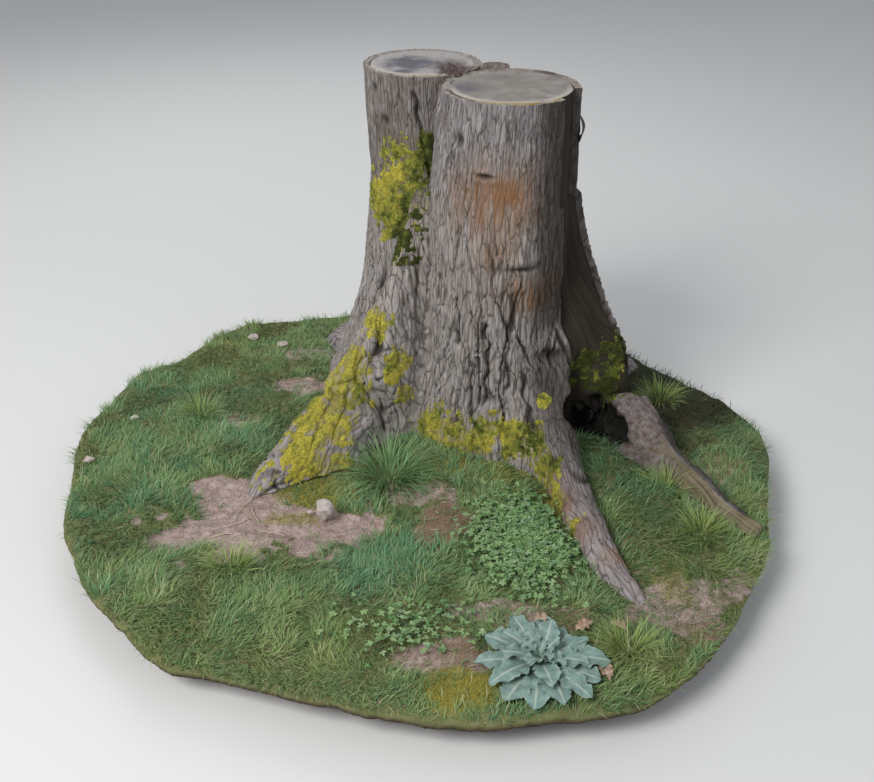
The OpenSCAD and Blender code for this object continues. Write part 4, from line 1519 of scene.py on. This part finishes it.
def blades(base, turn, lean, length, width, curl):
    """Grass blades as one mesh, five points each. Gives points, faces and height up the blade."""
    n = len(base)
    ahead = heading(turn)
    across = heading(turn + math.pi / 2)
    up = np.array([0, 0, 1.0])
    rows = []
    for t in (0.0, 0.5, 1.0):
        angle = lean + curl * t
        reach = length * t
        spine = base + ahead * (reach * np.sin(angle))[:, None] + up * (reach * np.cos(angle))[:, None]
        half = across * (width / 2 * (1 - 0.45 * t))[:, None]
        rows += [spine - half, spine + half] if t < 1 else [spine]
    points = np.stack(rows, 1).reshape(-1, 3)
    start = 5 * np.arange(n)[:, None]
    faces = tuples(start + [0, 1, 3, 2]) + tuples(start + [2, 3, 4])
    return points, faces, np.tile([0, 0, 0.5, 0.5, 1.0], n)


def grass_material():
    """Blades from dark at the foot to pale at the tip, and from dark green to yellow-green with the tone."""
    m = new_material("grass", 0.55, 0.25)
    where = place()
    drift = span(speckle(where, 55, 3, 0.6), 0.3, 0.7, -0.15, 0.15)
    tone = plus(named("tone"), drift)
    green = tint((0.04, 0.125, 0.045), (0.23, 0.31, 0.075), tone, 0.0, 0.75)
    dry = tint(green, (0.46, 0.42, 0.24), tone, 0.85, 1.15, 0.85)
    teal = blend(times(named("teal"), 0.75), dry, (0.10, 0.325, 0.19))
    foot = tint(teal, (0.045, 0.055, 0.018), named("rise"), 0.45, 0.0, 0.5)
    tip = tint(foot, (0.37, 0.50, 0.25), named("rise"), 0.4, 1.0, 0.45)
    # painted shadow of the stump on the blades behind it
    shaded = blend(named("shade"), tip, (0.02, 0.022, 0.01))
    return finished(m, shaded)


def inside_rim(xy, margin):
    """Whether each place is on the disc and at least margin from its edge."""
    turn, far = polar(xy)
    return far < rim_radius(turn) - margin


def scatter(rng, count):
    """Random places over the whole CAD box."""
    return rng.uniform(cad_box[0][:2], cad_box[1][:2], (count, 2))


BLADES = 150000          # places tried; fewer grow where the ground is worn, shaded or under the stump
ABOVE_ALL = 1.2          # a height above everything, where rays start
TURF_MARGIN = 4 * MM
TURF_LENGTH = (0.45, 1.15)       # shares of the zone's length
TURF_LEAN = (0.35, 1.15)
TURF_CURL = (0.1, 0.6)
TURF_WIDTH = (1.3, 2.4)          # mm
COMB_TURN = math.pi * 1.6        # how far the way the grass lies drifts over the disc
DRY_SHARE = 0.10         # of the blades are straw-coloured
DRY_TONE = 1.15


def turf(stump_tree):
    """Short combed grass over the whole disc, shared among the turf nodes."""
    rng = np.random.default_rng(7)
    xy = scatter(rng, BLADES)
    xy = xy[inside_rim(xy, TURF_MARGIN)]
    worn = np.maximum(bareness(xy), 0.5 * mossiness(xy))
    shade = spot(xy, *STUMP_SHADOW)
    gaps = 0.55 * np.maximum(plane_noise(xy, 0.075, 520, 3), 0)
    thin = np.clip(1.0 - 1.25 * worn - 0.45 * shade - gaps, 0.02, 1)
    xy = xy[rng.random(len(xy)) < thin]
    hits = [stump_tree.ray_cast(Vector((x, y, ABOVE_ALL)), DOWN)[0] for x, y in xy.tolist()]
    z = ground_z(xy)
    clear = np.array([-1 if hit is None else hit.z for hit in hits]) < z - 2 * MM
    xy = xy[clear]
    z = z[clear]
    n = len(xy)
    tone, teal, length = grass_style(xy)
    length = length * rng.uniform(*TURF_LENGTH, n)
    comb = COMB_TURN * plane_noise(xy, 0.16, 530, 2)
    turn = comb + rng.normal(0, 0.75, n)
    lean = rng.uniform(*TURF_LEAN, n)
    curl = rng.uniform(*TURF_CURL, n)
    width = rng.uniform(*TURF_WIDTH, n) * MM
    base = np.column_stack([xy, z - 3 * MM])
    tone = np.clip(tone + rng.normal(0, 0.18, n), 0, 1.1)
    tone = np.where(rng.random(n) < DRY_SHARE, DRY_TONE, tone)
    owner = nearest_node(base, TURF_NODES)
    material = grass_material()
    # painted shadow of the stump on the blades behind it
    dark = 0.85 * spot(xy, *STUMP_SHADOW)
    for k, node in enumerate(TURF_NODES):
        some = owner == k
        points, faces, rise = blades(base[some], turn[some], lean[some], length[some], width[some],
                                     curl[some])
        values = {key: np.repeat(v[some], 5) for key, v in (("tone", tone), ("teal", teal), ("shade", dark))}
        values["rise"] = rise
        stand_for(make(node + "_grass", points, faces, material, values), "turf", node)
    return material


# ---------------------------------------------------------------- moss

def face_samples(rng, points, quads, weight, count):
    """Random places on quads, more of them where weight is higher: places, and which quad each is on."""
    c = points[quads]
    share = np.linalg.norm(np.cross(c[:, 2] - c[:, 0], c[:, 3] - c[:, 1]), axis=1) * weight
    pick = rng.choice(len(quads), count, p=share / share.sum())
    u = rng.random((count, 1))
    v = rng.random((count, 1))
    c = c[pick]
    return (c[:, 0] * (1 - u) + c[:, 1] * u) * (1 - v) + (c[:, 3] * (1 - u) + c[:, 2] * u) * v, pick


def strands(base, direction, length, width, rng):
    """Thin upright slivers: three points each. Gives points, faces and height up the strand."""
    n = len(base)
    aside = np.cross(direction, rng.normal(0, 1, (n, 3)))
    aside /= np.maximum(np.linalg.norm(aside, axis=1), 1e-9)[:, None]
    half = aside * (width / 2)[:, None]
    tip = base + direction * length[:, None]
    points = np.stack([base - half, base + half, tip], 1).reshape(-1, 3)
    return points, tuples(np.arange(3 * n).reshape(-1, 3)), np.tile([0, 0, 1.0], n)


def moss_material():
    """Moss from deep green to mustard yellow, with painted shade in its hollows and painted light on its
    strand tips.
    """
    m = new_material("moss", 0.95, 0.1)
    where = place()
    clump = speckle(where, 70, 4, 0.6)
    fine = speckle(where, 380, 3, 0.6)
    tone = plus(named("tone"), span(clump, 0.3, 0.7, -0.35, 0.35))
    green = tint((0.05, 0.065, 0.018), (0.22, 0.255, 0.05), tone, 0.0, 0.45)
    yellow = tint(green, (0.60, 0.53, 0.085), tone, 0.35, 0.95)
    brown = tint(yellow, (0.20, 0.13, 0.045), clump, 0.58, 0.75, 0.6)
    # painted shade: fine dark specks for the hollows between the strands
    deep = tint(brown, (0.06, 0.055, 0.015), fine, 0.52, 0.3, 0.7)
    # painted light: paler towards the tips of the strands
    lit = tint(deep, blend(tone, (0.18, 0.21, 0.06), (0.72, 0.70, 0.27)), named("rise"), 0.2, 1.0, 0.4)
    return finished(m, lit, fine, 3 * MM, 1.0)


GROUND_MOSS = 60000
GROUND_STRANDS = ((5, 12), (1.2, 2.6))   # length and width in mm, from and to
BARK_STRANDS = ((2.5, 7), (0.9, 1.8))
LEAST_COVER = 0.02
CUSHION_HIGH = 4.6       # mm
CUSHION_SUNK = 1.5
CUSHION_LUMPS = 1.2


def ground_moss(material):
    """Short strands on the mossy ground."""
    rng = np.random.default_rng(77)
    xy = scatter(rng, 6 * GROUND_MOSS)
    patchy = mossiness(xy) + 0.35 * plane_noise(xy, 0.03, 620, 2)
    xy = xy[inside_rim(xy, 6 * MM) & (patchy > rng.uniform(0.25, 1.0, len(xy)))][:GROUND_MOSS]
    count = len(xy)
    base = np.column_stack([xy, ground_z(xy) - 3 * MM])
    out = rng.normal(0, 0.5, (count, 3)) + (0, 0, 1)
    out /= np.linalg.norm(out, axis=1)[:, None]
    length, width = (rng.uniform(*sizes, count) * MM for sizes in GROUND_STRANDS)
    points, faces, rise = strands(base, out, length, width, rng)
    tone = 0.74 + 0.25 * plane_noise(xy, 0.06, 621) + rng.normal(0, 0.15, count)
    values = {"tone": np.repeat(tone, 3), "rise": rise}
    stand_for(make("ground_moss", points, faces, material, values), "moss")


def moss(node, points, quads, amount, ring, material):
    """Ragged little cushions that grow out of the bark, with short strands all over them."""
    rng = np.random.default_rng(len(node))
    broken = 0.75 * noise(points / 0.030, 601) + 0.75 * noise(points / 0.012, 602)
    broken = broken + 0.5 * noise(points / 0.006, 603)
    streaks = noise(ring * (30, 30, 10), 604) - 0.14 if node == "left_root_moss" else MOSS_SPREAD.get(node, 0)
    cover = np.clip(1.25 * amount - 0.48 + 0.8 * broken + streaks, 0, 1) * (amount > LEAST_COVER)
    used, faces = compact(quads[(cover[quads] > LEAST_COVER).any(axis=1)])
    p = points[used]
    c = cover[used]
    normal = normals_of(p, faces)
    swell = CUSHION_HIGH * c - CUSHION_SUNK + CUSHION_LUMPS * c * noise(p / 0.008, 611)
    cushion = p + normal * (swell * MM)[:, None]
    tone = MOSS_TONE[node] + 0.4 * noise(p / 0.05, 613) + 0.3 * noise(p / 0.015, 614)
    if node == "flank_moss":
        tone = tone - 0.7 * smooth(*FLANK_SHADE, p[:, 0] - 0.35 * (p[:, 2] - 0.75))
    weight = np.clip(c[faces].mean(axis=1), 0.03, 1)
    base, pick = face_samples(rng, cushion, faces, weight, MOSS_FUZZ[node])
    count = len(base)
    out = normal[faces[pick, 0]] + rng.normal(0, 0.5, (count, 3))
    out /= np.linalg.norm(out, axis=1)[:, None]
    length, width = (rng.uniform(*sizes, count) * MM for sizes in BARK_STRANDS)
    hair, hair_faces, rise = strands(base - out * MM, out, length, width, rng)
    hair_tone = np.repeat(tone[faces[pick, 0]] + rng.normal(0, 0.16, count), 3)
    points, faces, values = gather([(cushion, tuples(faces), {"tone": tone, "rise": 0.3 * c}),
                                    (hair, hair_faces, {"tone": hair_tone, "rise": rise})])
    stand_for(make(node, points, faces, material, values), "moss", node)


# ---------------------------------------------------------------- rosette

LEAF_ROWS = 30
LEAF_COLS = 13
LEAF_HALF_W = 31 * MM
YOUNG_LEAVES = 12
YOUNG_LENGTH = 0.110     # of the outermost young leaf; each next one is shorter by YOUNG_STEP
YOUNG_STEP = 0.0065
GOLDEN_TURN = math.radians(137.5)


def lobed_leaf(length, half_w, arch, seed, cup=0.35):
    """A leaf along +X from the origin: points, faces, how far each point is from the midrib."""
    rng = np.random.default_rng(seed)
    tt, ss = each_pair(np.linspace(0, 1, LEAF_ROWS), np.linspace(-1, 1, LEAF_COLS))
    outline = np.sin(math.pi * tt**1.15) ** 0.6 * (0.30 + 0.70 * smooth(0.05, 0.45, tt))
    phase = rng.uniform(0, TAU)
    side = np.where(ss > 0, phase, phase + 1.7)
    lobes = 1 + 0.13 * np.sin(tt * 32 + side) * smooth(0.1, 0.3, tt) + 0.06 * np.sin(tt * 71 + 2 * side)
    half = half_w * outline * lobes
    y = half * ss + rng.uniform(-0.10, 0.10) * length * tt**2
    z = arch * np.sin(math.pi * 0.86 * tt) + cup * np.abs(half * ss) * (1 - 0.8 * tt)
    ripple = np.sin(tt * rng.uniform(20, 26) + side) * np.abs(ss) ** 2 * 4.5 * MM * smooth(0.15, 0.4, tt)
    z = z + ripple + 1.2 * MM * np.exp(-((ss / 0.10) ** 2))
    return np.column_stack([length * tt, y, z]), tuples(sheet(LEAF_ROWS, LEAF_COLS)[0]), np.abs(ss), tt


def turned(points, angle, tilt, at):
    """Points tipped up by tilt, turned by angle round Z and moved to a place."""
    c, s = math.cos(tilt), math.sin(tilt)
    x = points[:, 0] * c - points[:, 2] * s
    z = points[:, 0] * s + points[:, 2] * c
    y = points[:, 1]
    c, s = math.cos(angle), math.sin(angle)
    return np.column_stack([x * c - y * s, x * s + y * c, z]) + at


def leaf_material():
    """Blue-green, slightly downy leaf with a pale midrib and side veins."""
    m = new_material("rosette_leaf", 0.62, 0.3)
    where = place()
    mottle = speckle(where, 60, 4, 0.6)
    fine = speckle(where, 420, 3, 0.6)
    base = tint((0.125, 0.21, 0.18), (0.23, 0.335, 0.31), mottle, 0.35, 0.65)
    edge = tint(base, (0.28, 0.36, 0.315), named("aside"), 0.7, 1.0, 0.5)
    inner = tint(edge, (0.17, 0.26, 0.13), named("rise"), 0.35, 0.0, 0.6)
    veins = waves(named("vein", "Vector"), 2.4, 1.0)
    veined = tint(inner, (0.28, 0.36, 0.31), veins, 0.8, 1.0, 0.35)
    rib = tint(veined, (0.42, 0.48, 0.40), named("aside"), 0.13, 0.05, 0.8)
    return finished(m, rib, plus(mottle, times(fine, 0.4)), 1.2 * MM, 0.8)


def leaf_set(name, specs, at, material):
    """Several leaves about one middle as one piece.
    Each of specs is angle, tilt, length, half width, arch, seed and lift."""
    parts = []
    for angle, tilt, length, half_w, arch, seed, lift in specs:
        p, f, aside, rise = lobed_leaf(length, half_w, arch, seed)
        vein = np.column_stack([rise * 3 - aside * 1.1, aside * 0, aside * 0])
        values = {"aside": aside, "rise": rise, "vein": vein}
        parts.append((turned(p, angle, tilt, np.array([*at, lift])), f, values))
    points, faces, values = gather(parts)
    stand_for(make(name, points, faces, material, values), "rosette_leaf", name)


def rosette():
    """Outer leaves where the CAD leaves lie, and young leaves at the crown."""
    low, _, crown, _ = box_of("rosette_crown")
    base_z = low[2]
    rng = np.random.default_rng(21)
    material = leaf_material()
    outer = []
    for k, leaf in enumerate(islands("rosette_leaves")):
        turn, far = polar(leaf[:, :2] - crown[:2])
        angle = turn[far.argmax()]
        outer.append((angle + rng.normal(0, 0.07), rng.uniform(0, 0.09),
                      float(far.max()) * rng.uniform(0.86, 1.06), LEAF_HALF_W * rng.uniform(0.8, 1.15),
                      rng.uniform(8, 18) * MM, 30 + k, base_z + 3 * MM * (k % 3)))
    leaf_set("rosette_leaves", outer, crown[:2], material)
    inner = []
    for k in range(YOUNG_LEAVES):
        angle = k * GOLDEN_TURN
        length = (YOUNG_LENGTH - YOUNG_STEP * k) * rng.uniform(0.85, 1.15)
        inner.append((angle + rng.normal(0, 0.15), 0.16 + 0.04 * k, length, length * 0.24, 9 * MM, 60 + k,
                      base_z + (8 + k) * MM))
    leaf_set("rosette_crown", inner, crown[:2], material)


# ---------------------------------------------------------------- tussock, tufts and clover

BLADE_STEPS = 5
# Blades, radius of the patch they spring from, length, and least and most lean of a fan
TUSSOCK = (330, 0.06, 0.15, 0.1, 1.25)
TUFT = (130, 0.035, 0.085, 0.1, 1.0)
# Width, curl, tone and teal of its blades
TUSSOCK_BLADE = (2.3 * MM, 0.9, 0.70, 0.6)
TUFT_BLADE = (2.4 * MM, 0.8, 0.75, 0.0)
TUFT_REACH = 0.16        # blades of one tuft have their feet no further apart than this
TUFT_APART = 0.1


def fan(rng, middle, count, radius, length, lean_low, lean_high):
    """Blades that spring from a small patch of ground and arch outwards."""
    turn = rng.uniform(0, TAU, count)
    far = radius * np.sqrt(rng.random(count))
    xy = middle + heading(turn)[:, :2] * far[:, None]
    base = np.column_stack([xy, ground_z(xy) - 2 * MM])
    lean = rng.uniform(lean_low, lean_high, count)
    return base, turn + rng.normal(0, 0.35, count), lean, length * rng.uniform(0.55, 1.1, count)


def long_blades(base, turn, lean, length, width, curl):
    """Like blades(), but with more bends along each blade."""
    n = len(base)
    across = heading(turn + math.pi / 2)
    ahead = heading(turn)
    spine = base
    rows = []
    for k in range(BLADE_STEPS + 1):
        t = k / BLADE_STEPS
        half = across * (width / 2 * (1 - t) ** 0.6)[:, None]
        rows += [spine - half, spine + half]
        angle = lean + curl * t * 1.5
        step = ahead * np.sin(angle)[:, None] + [0, 0, 1] * np.cos(angle)[:, None]
        spine = spine + step * (length / BLADE_STEPS)[:, None]
    points = np.stack(rows, 1).reshape(-1, 3)
    start = len(rows) * np.arange(n)[:, None]
    faces = []
    for k in range(0, 2 * BLADE_STEPS, 2):
        faces += tuples(start + [k, k + 1, k + 3, k + 2])
    return points, faces, np.tile(np.repeat(np.linspace(0, 1, BLADE_STEPS + 1), 2), n)


def plant_fan(node, fans, width, curl, tone, teal, material, rng):
    """Some fans of blades as one piece."""
    base, turn, lean, length = (np.concatenate([f[k] for f in fans]) for k in range(4))
    count = len(base)
    width = width * rng.uniform(0.7, 1.2, count)
    curl = curl * rng.uniform(0.5, 1.2, count)
    points, faces, rise = long_blades(base, turn, lean, length, width, curl)
    per = len(points) // count
    values = {"rise": rise, "tone": np.repeat(tone + rng.normal(0, 0.1, count), per),
              "teal": np.full(len(points), teal), "shade": np.zeros(len(points))}
    stand_for(make(node, points, faces, material, values), "grass", node)


def grasses(material):
    """The tussock and the tufts of taller grass."""
    rng = np.random.default_rng(31)
    middle = box_of("tussock")[2][:2]
    plant_fan("tussock", [fan(rng, middle, *TUSSOCK)], *TUSSOCK_BLADE, material, rng)
    tufts = [fan(rng, foot, *TUFT) for foot in tuft_middles()]
    plant_fan("grass_tufts", tufts, *TUFT_BLADE, material, rng)


def tuft_middles():
    """Middle of each CAD tuft: its blades' feet lie close together."""
    feet = [blade[blade[:, 2].argmin()][:2] for blade in islands("grass_tufts")]
    middles = []
    for foot in feet:
        near = [f for f in feet if np.hypot(*(f - foot)) < TUFT_REACH]
        middle = np.mean(near, axis=0)
        if not any(np.hypot(*(middle - m)) < TUFT_APART for m in middles):
            middles.append(middle)
    return middles


def clover_material():
    """Fresh green leaflets with a pale rib and a little bloom."""
    m = new_material("clover", 0.6, 0.3)
    where = place()
    mottle = speckle(where, 45, 4, 0.6)
    tone = plus(named("tone"), span(mottle, 0.3, 0.7, -0.2, 0.2))
    base = tint((0.09, 0.20, 0.06), (0.27, 0.40, 0.17), tone, 0.1, 0.9)
    frost = tint(base, (0.24, 0.34, 0.27), mottle, 0.5, 0.7, 0.6)
    rib = tint(frost, (0.34, 0.42, 0.28), named("aside"), 0.2, 0.0, 0.4)
    return finished(m, rib)


def leaflet():
    """A small oval leaf along +X, one unit long, a little cupped: points, faces and distance from its rib."""
    ring = np.array([(0, 0), (0.3, 0.26), (0.65, 0.36), (1.0, 0.16), (1.0, -0.16), (0.65, -0.36),
                     (0.3, -0.26)])
    points = np.column_stack([ring, 0.35 * np.abs(ring[:, 1])])
    points = np.vstack([points, [[0.5, 0, 0]], [[0.95, 0, 0.02]]])
    faces = [(0, 6, 7), (6, 5, 7), (5, 4, 7), (4, 8, 7), (8, 3, 7), (3, 2, 7), (2, 1, 7), (1, 0, 7)]
    return points, faces, np.array([0, 1, 1, 1, 1, 1, 1, 0, 0.2])


CLOVER_PLANTS = 2300
CLOVER_HEIGHT = (8, 26)          # mm
LEAFLET_LENGTH = (4.5, 10)       # mm
LEAFLETS = (3, 6)        # from, and up to but not including
STRAY_CLOVER = 160       # plants in a small patch of their own, nearer the camera
STRAY_AT = (0.0, -0.62)


def clover():
    """A mat of small plants, each a whorl of leaflets held a little above the ground, over and round the CAD
    discs.
    """
    rng = np.random.default_rng(41)
    _, _, middle, half = box_of("clover_patch")
    xy = middle[:2] + rng.normal(0, 0.52, (CLOVER_PLANTS, 2)) * half[:2]
    xy = np.vstack([xy, rng.normal(0, 1, (STRAY_CLOVER, 2)) * (0.07, 0.05) + STRAY_AT])
    xy = xy[inside_rim(xy, 8 * MM)]
    z = ground_z(xy)
    shape, shape_faces, aside = leaflet()
    parts = []
    for k, (x, y) in enumerate(xy):
        lift = z[k] + rng.uniform(*CLOVER_HEIGHT) * MM
        spin = rng.uniform(0, TAU)
        size = rng.uniform(*LEAFLET_LENGTH) * MM
        count = int(rng.integers(*LEAFLETS))
        tone = rng.uniform(0.1, 0.9)
        for j in range(count):
            p = turned(shape * size, spin + j * TAU / count, rng.uniform(-0.35, 0.5), np.array([x, y, lift]))
            parts.append((p, shape_faces, {"tone": np.full(len(p), tone), "aside": aside}))
    points, faces, values = gather(parts)
    stand_for(make("clover_patch", points, faces, clover_material(), values), "clover", "clover_patch")


# ---------------------------------------------------------------- stones, leaves, straw and the bark flake

def stone_material():
    """Pale gritty stone with earth in its hollows."""
    m = new_material("stone", 0.85, 0.25)
    where = place()
    mottle = speckle(where, 70, 5, 0.65)
    grit = speckle(where, 500, 3, 0.7)
    base = tint((0.38, 0.315, 0.29), (0.58, 0.52, 0.50), mottle, 0.35, 0.65)
    dirt = tint(base, (0.14, 0.10, 0.07), mottle, 0.45, 0.3, 0.6)
    colour = tint(dirt, (0.55, 0.50, 0.47), grit, 0.6, 0.8, 0.6)
    return finished(m, colour, plus(mottle, times(grit, 0.4)), 1.5 * MM, 0.8)


BALL_RINGS = 28
BALL_AROUND = 40
POLE = 0.02              # how near the rings come to the ball's poles (radians)


def ball():
    """Directions over a ball and the faces that join them."""
    turn = np.arange(BALL_AROUND) * TAU / BALL_AROUND
    a, b = each_pair(np.linspace(POLE, math.pi - POLE, BALL_RINGS), turn)
    points = np.column_stack([np.sin(a) * np.cos(b), np.sin(a) * np.sin(b), np.cos(a)])
    index = np.arange(len(points)).reshape(BALL_RINGS, BALL_AROUND)
    nxt = np.roll(index, -1, axis=1)
    quads = np.stack([index[:-1], index[1:], nxt[1:], nxt[:-1]], -1).reshape(-1, 4)
    return points, tuples(quads) + [tuple(index[0].tolist()), tuple(index[-1][::-1].tolist())]


STONE_PLANES = 11        # flat faces that chip each stone


def chipped_stone(solid, seed):
    """A stone broken to flat faces, in the box of its CAD solid."""
    rng = np.random.default_rng(seed)
    middle = (solid.max(0) + solid.min(0)) / 2
    half = np.ptp(solid, axis=0) / 2
    points, faces = ball()
    planes = rng.normal(0, 1, (STONE_PLANES, 3))
    planes /= np.linalg.norm(planes, axis=1)[:, None]
    reach = rng.uniform(0.55, 0.9, STONE_PLANES)
    facing = np.maximum(points @ planes.T, 0.05)
    radius = np.minimum((reach / facing).min(axis=1), 1.0)
    radius += 0.045 * fbm(points * 3, seed, 4)
    return points * radius[:, None] * half + middle, faces


def stones():
    """The stone beside the bare patch and the small ones on the turf."""
    material = stone_material()
    for node, seed in (("large_stone", 5), ("small_stones", 6)):
        points, faces = join([chipped_stone(solid, seed + k) for k, solid in enumerate(islands(node))])
        stand_for(make(node, points, faces, material), "stone", node)


def dead_leaf_material():
    """Pale brown dead leaf, darker at its edge."""
    m = new_material("dead_leaf", 0.7, 0.25)
    mottle = speckle(place(), 90, 5, 0.65)
    base = tint((0.22, 0.135, 0.085), (0.46, 0.34, 0.26), mottle, 0.35, 0.65)
    edge = tint(base, (0.14, 0.08, 0.05), named("aside"), 0.75, 1.0, 0.6)
    return finished(m, tint(edge, (0.55, 0.43, 0.33), named("aside"), 0.12, 0.03, 0.7), mottle, 1.0 * MM, 0.8)


def dead_leaves():
    """Fallen leaves, curled up at their edges."""
    parts = []
    for k, solid in enumerate(islands("dry_leaves")):
        middle, along, length = lie_of(solid)
        start = middle[:2] - along * length / 2
        p, f, aside, _ = lobed_leaf(length, length * 0.30, 5 * MM, 80 + k, 0.9)
        at = np.array([*start, solid[:, 2].min() + 5 * MM])
        p = turned(p, math.atan2(along[1], along[0]), 0.12 * (-1) ** k, at)
        parts.append((p, f, {"aside": aside}))
    points, faces, values = gather(parts)
    stand_for(make("dry_leaves", points, faces, dead_leaf_material(), values), "dead_leaf", "dry_leaves")


def straw_material():
    """Dry stalks, straw to cream."""
    m = new_material("straw", 0.6, 0.3)
    where = place()
    mottle = speckle(where, 120, 4, 0.6)
    colour = tint((0.33, 0.28, 0.20), (0.58, 0.52, 0.40), mottle, 0.35, 0.65)
    return finished(m, colour, mottle, 0.5 * MM, 0.8)


def tube(path, radius, around=7):
    """A tube of tapering radius along a path, closed at both ends."""
    n = len(path)
    ahead = np.gradient(path, axis=0)
    ahead /= np.linalg.norm(ahead, axis=1)[:, None]
    aside = np.cross(ahead, (0, 0, 1.0))
    aside /= np.linalg.norm(aside, axis=1)[:, None]
    above = np.cross(aside, ahead)
    angle = np.arange(around) * TAU / around
    ring = aside[:, None] * np.cos(angle)[None, :, None] + above[:, None] * np.sin(angle)[None, :, None]
    points = (path[:, None] + ring * np.reshape(radius, (-1, 1, 1))).reshape(-1, 3)
    index = np.arange(n * around).reshape(n, around)
    nxt = np.roll(index, -1, axis=1)
    faces = tuples(np.stack([index[:-1], nxt[:-1], nxt[1:], index[1:]], -1).reshape(-1, 4))
    return points, faces + [tuple(index[0][::-1].tolist()), tuple(index[-1].tolist())]


STRAW_RINGS = 16
STRAW_R = (1.5, 0.8)     # mm, at each end
LITTER = 5000            # places tried for short stalks, most of which fall on grass and are dropped
LITTER_RINGS = 4
LITTER_LENGTH = (12, 45)         # mm
LITTER_R = (0.8, 0.4)    # mm, at each end


def straw():
    """Dry stalks, each bent a little, and short bits of stalk on the bare earth."""
    rng = np.random.default_rng(51)
    parts = []
    for solid in islands("straw"):
        middle, along, length = lie_of(solid)
        t = np.linspace(-0.5, 0.5, STRAW_RINGS)
        aside = np.array([-along[1], along[0]])
        bend = rng.uniform(-0.10, 0.10) * length
        sideways = bend * (4 * t**2 - 1) + 0.01 * length * np.sin(t * 19)
        xy = middle[:2] + t[:, None] * length * along + sideways[:, None] * aside
        z = ground_z(xy) + 3 * MM + 5 * MM * (0.5 + t) * rng.uniform(0, 1)
        parts.append(tube(np.column_stack([xy, z]), np.linspace(*STRAW_R, STRAW_RINGS) * MM))
    xy = scatter(rng, LITTER)
    xy = xy[inside_rim(xy, 30 * MM) & (bareness(xy) > rng.uniform(0.25, 1.2, len(xy)))]
    litter = []
    for x, y in xy:
        turn = rng.uniform(0, TAU)
        t = np.linspace(-0.5, 0.5, LITTER_RINGS) * rng.uniform(*LITTER_LENGTH) * MM
        bow = rng.uniform(-14, 14) * t**2
        c, s = math.cos(turn), math.sin(turn)
        path = np.column_stack([x + t * c - bow * s, y + t * s + bow * c])
        z = ground_z(path) + rng.uniform(0.5, 3) * MM
        litter.append(tube(np.column_stack([path, z]), np.linspace(*LITTER_R, LITTER_RINGS) * MM, 3))
    points, faces = join(parts + litter)
    stand_for(make("straw", points, faces, straw_material()), "straw", "straw")


FLAKE_ROWS = 26
FLAKE_COLS = 12
FLAKE_THICK = 2.5 * MM
FLAKE_HALF_W = 15 * MM
FLAKE_LIFT = 13 * MM


def bark_flake():
    """A curled, ragged flake that stands off the edge of the bark."""
    low, high, middle, _ = box_of("bark_flap")
    t, s = each_pair(np.linspace(0, 1, FLAKE_ROWS), np.linspace(-1, 1, FLAKE_COLS))
    outward = middle[:2] - RIGHT_TOP
    outward /= np.linalg.norm(outward)
    aside = np.array([-outward[1], outward[0]])
    lift = FLAKE_LIFT * np.sin(math.pi * t) * (0.75 + 0.25 * s) - 3 * MM
    wide = FLAKE_HALF_W * (1 - 0.35 * t) * s + 2 * MM * noise(np.column_stack([t * 9, s, s * 0]), 71)
    start = RIGHT_TOP + outward * (np.linalg.norm(middle[:2] - RIGHT_TOP) - 6 * MM)
    xy = start + outward * lift[:, None] + aside * wide[:, None]
    z = low[2] + (high[2] - low[2]) * t + 2 * MM * noise(np.column_stack([s * 3, t, t * 0]), 72)
    front = np.column_stack([xy, z])
    back = front - np.array([*outward, 0]) * FLAKE_THICK
    quads, edge = sheet(FLAKE_ROWS, FLAKE_COLS)
    after = np.roll(edge, -1)
    n = len(front)
    faces = np.vstack([quads[:, [0, 3, 2, 1]], quads[:, [1, 2, 3, 0]] + n])
    faces = np.vstack([faces, np.column_stack([edge, after, after + n, edge + n])])
    points = np.vstack([front, back])
    ring = np.column_stack([points[:, 0] * 6, points[:, 1] * 6, points[:, 2]])
    # the flake is darkened all over through its crack value and, as painted shade, its dim value
    values = {"ring": ring, "crack": np.full(len(points), 0.45), "dim": np.full(len(points), 0.8)}
    flake = make("bark_flap", points, faces, BARK, values)
    stand_for(flake, "bark", "bark_flap")


FLOOR_GAP = 0.5 * MM
FLOOR_HALF = 30.0


def floor():
    """The plain pale floor under the object."""
    corners = [(x * FLOOR_HALF, y * FLOOR_HALF, -FLOOR_GAP) for x, y in ((-1, -1), (1, -1), (1, 1), (-1, 1))]
    m = new_material("floor", 0.9)
    shade = speckle(place(), 0.4, 2, 0.5)
    finished(m, blend(shade, (0.66, 0.66, 0.65), (0.70, 0.70, 0.70)))
    make("floor", corners, [(0, 1, 2, 3)], m)


camera()
lights()
floor()
SKIN_POINTS, SKIN_QUADS, SKIN_VALUES = stump()
sawn_tops(SKIN_POINTS, SKIN_QUADS)
ground()
GRASS = turf(BVHTree.FromPolygons(SKIN_POINTS.tolist(), SKIN_QUADS.tolist()))
MOSS = moss_material()
for moss_node in MOSS_NODES:
    moss(moss_node, SKIN_POINTS, SKIN_QUADS, moss_amount(moss_node, SKIN_POINTS), SKIN_VALUES["ring"], MOSS)
ground_moss(MOSS)
rosette()
grasses(GRASS)
clover()
stones()
dead_leaves()
straw()
bark_flake()
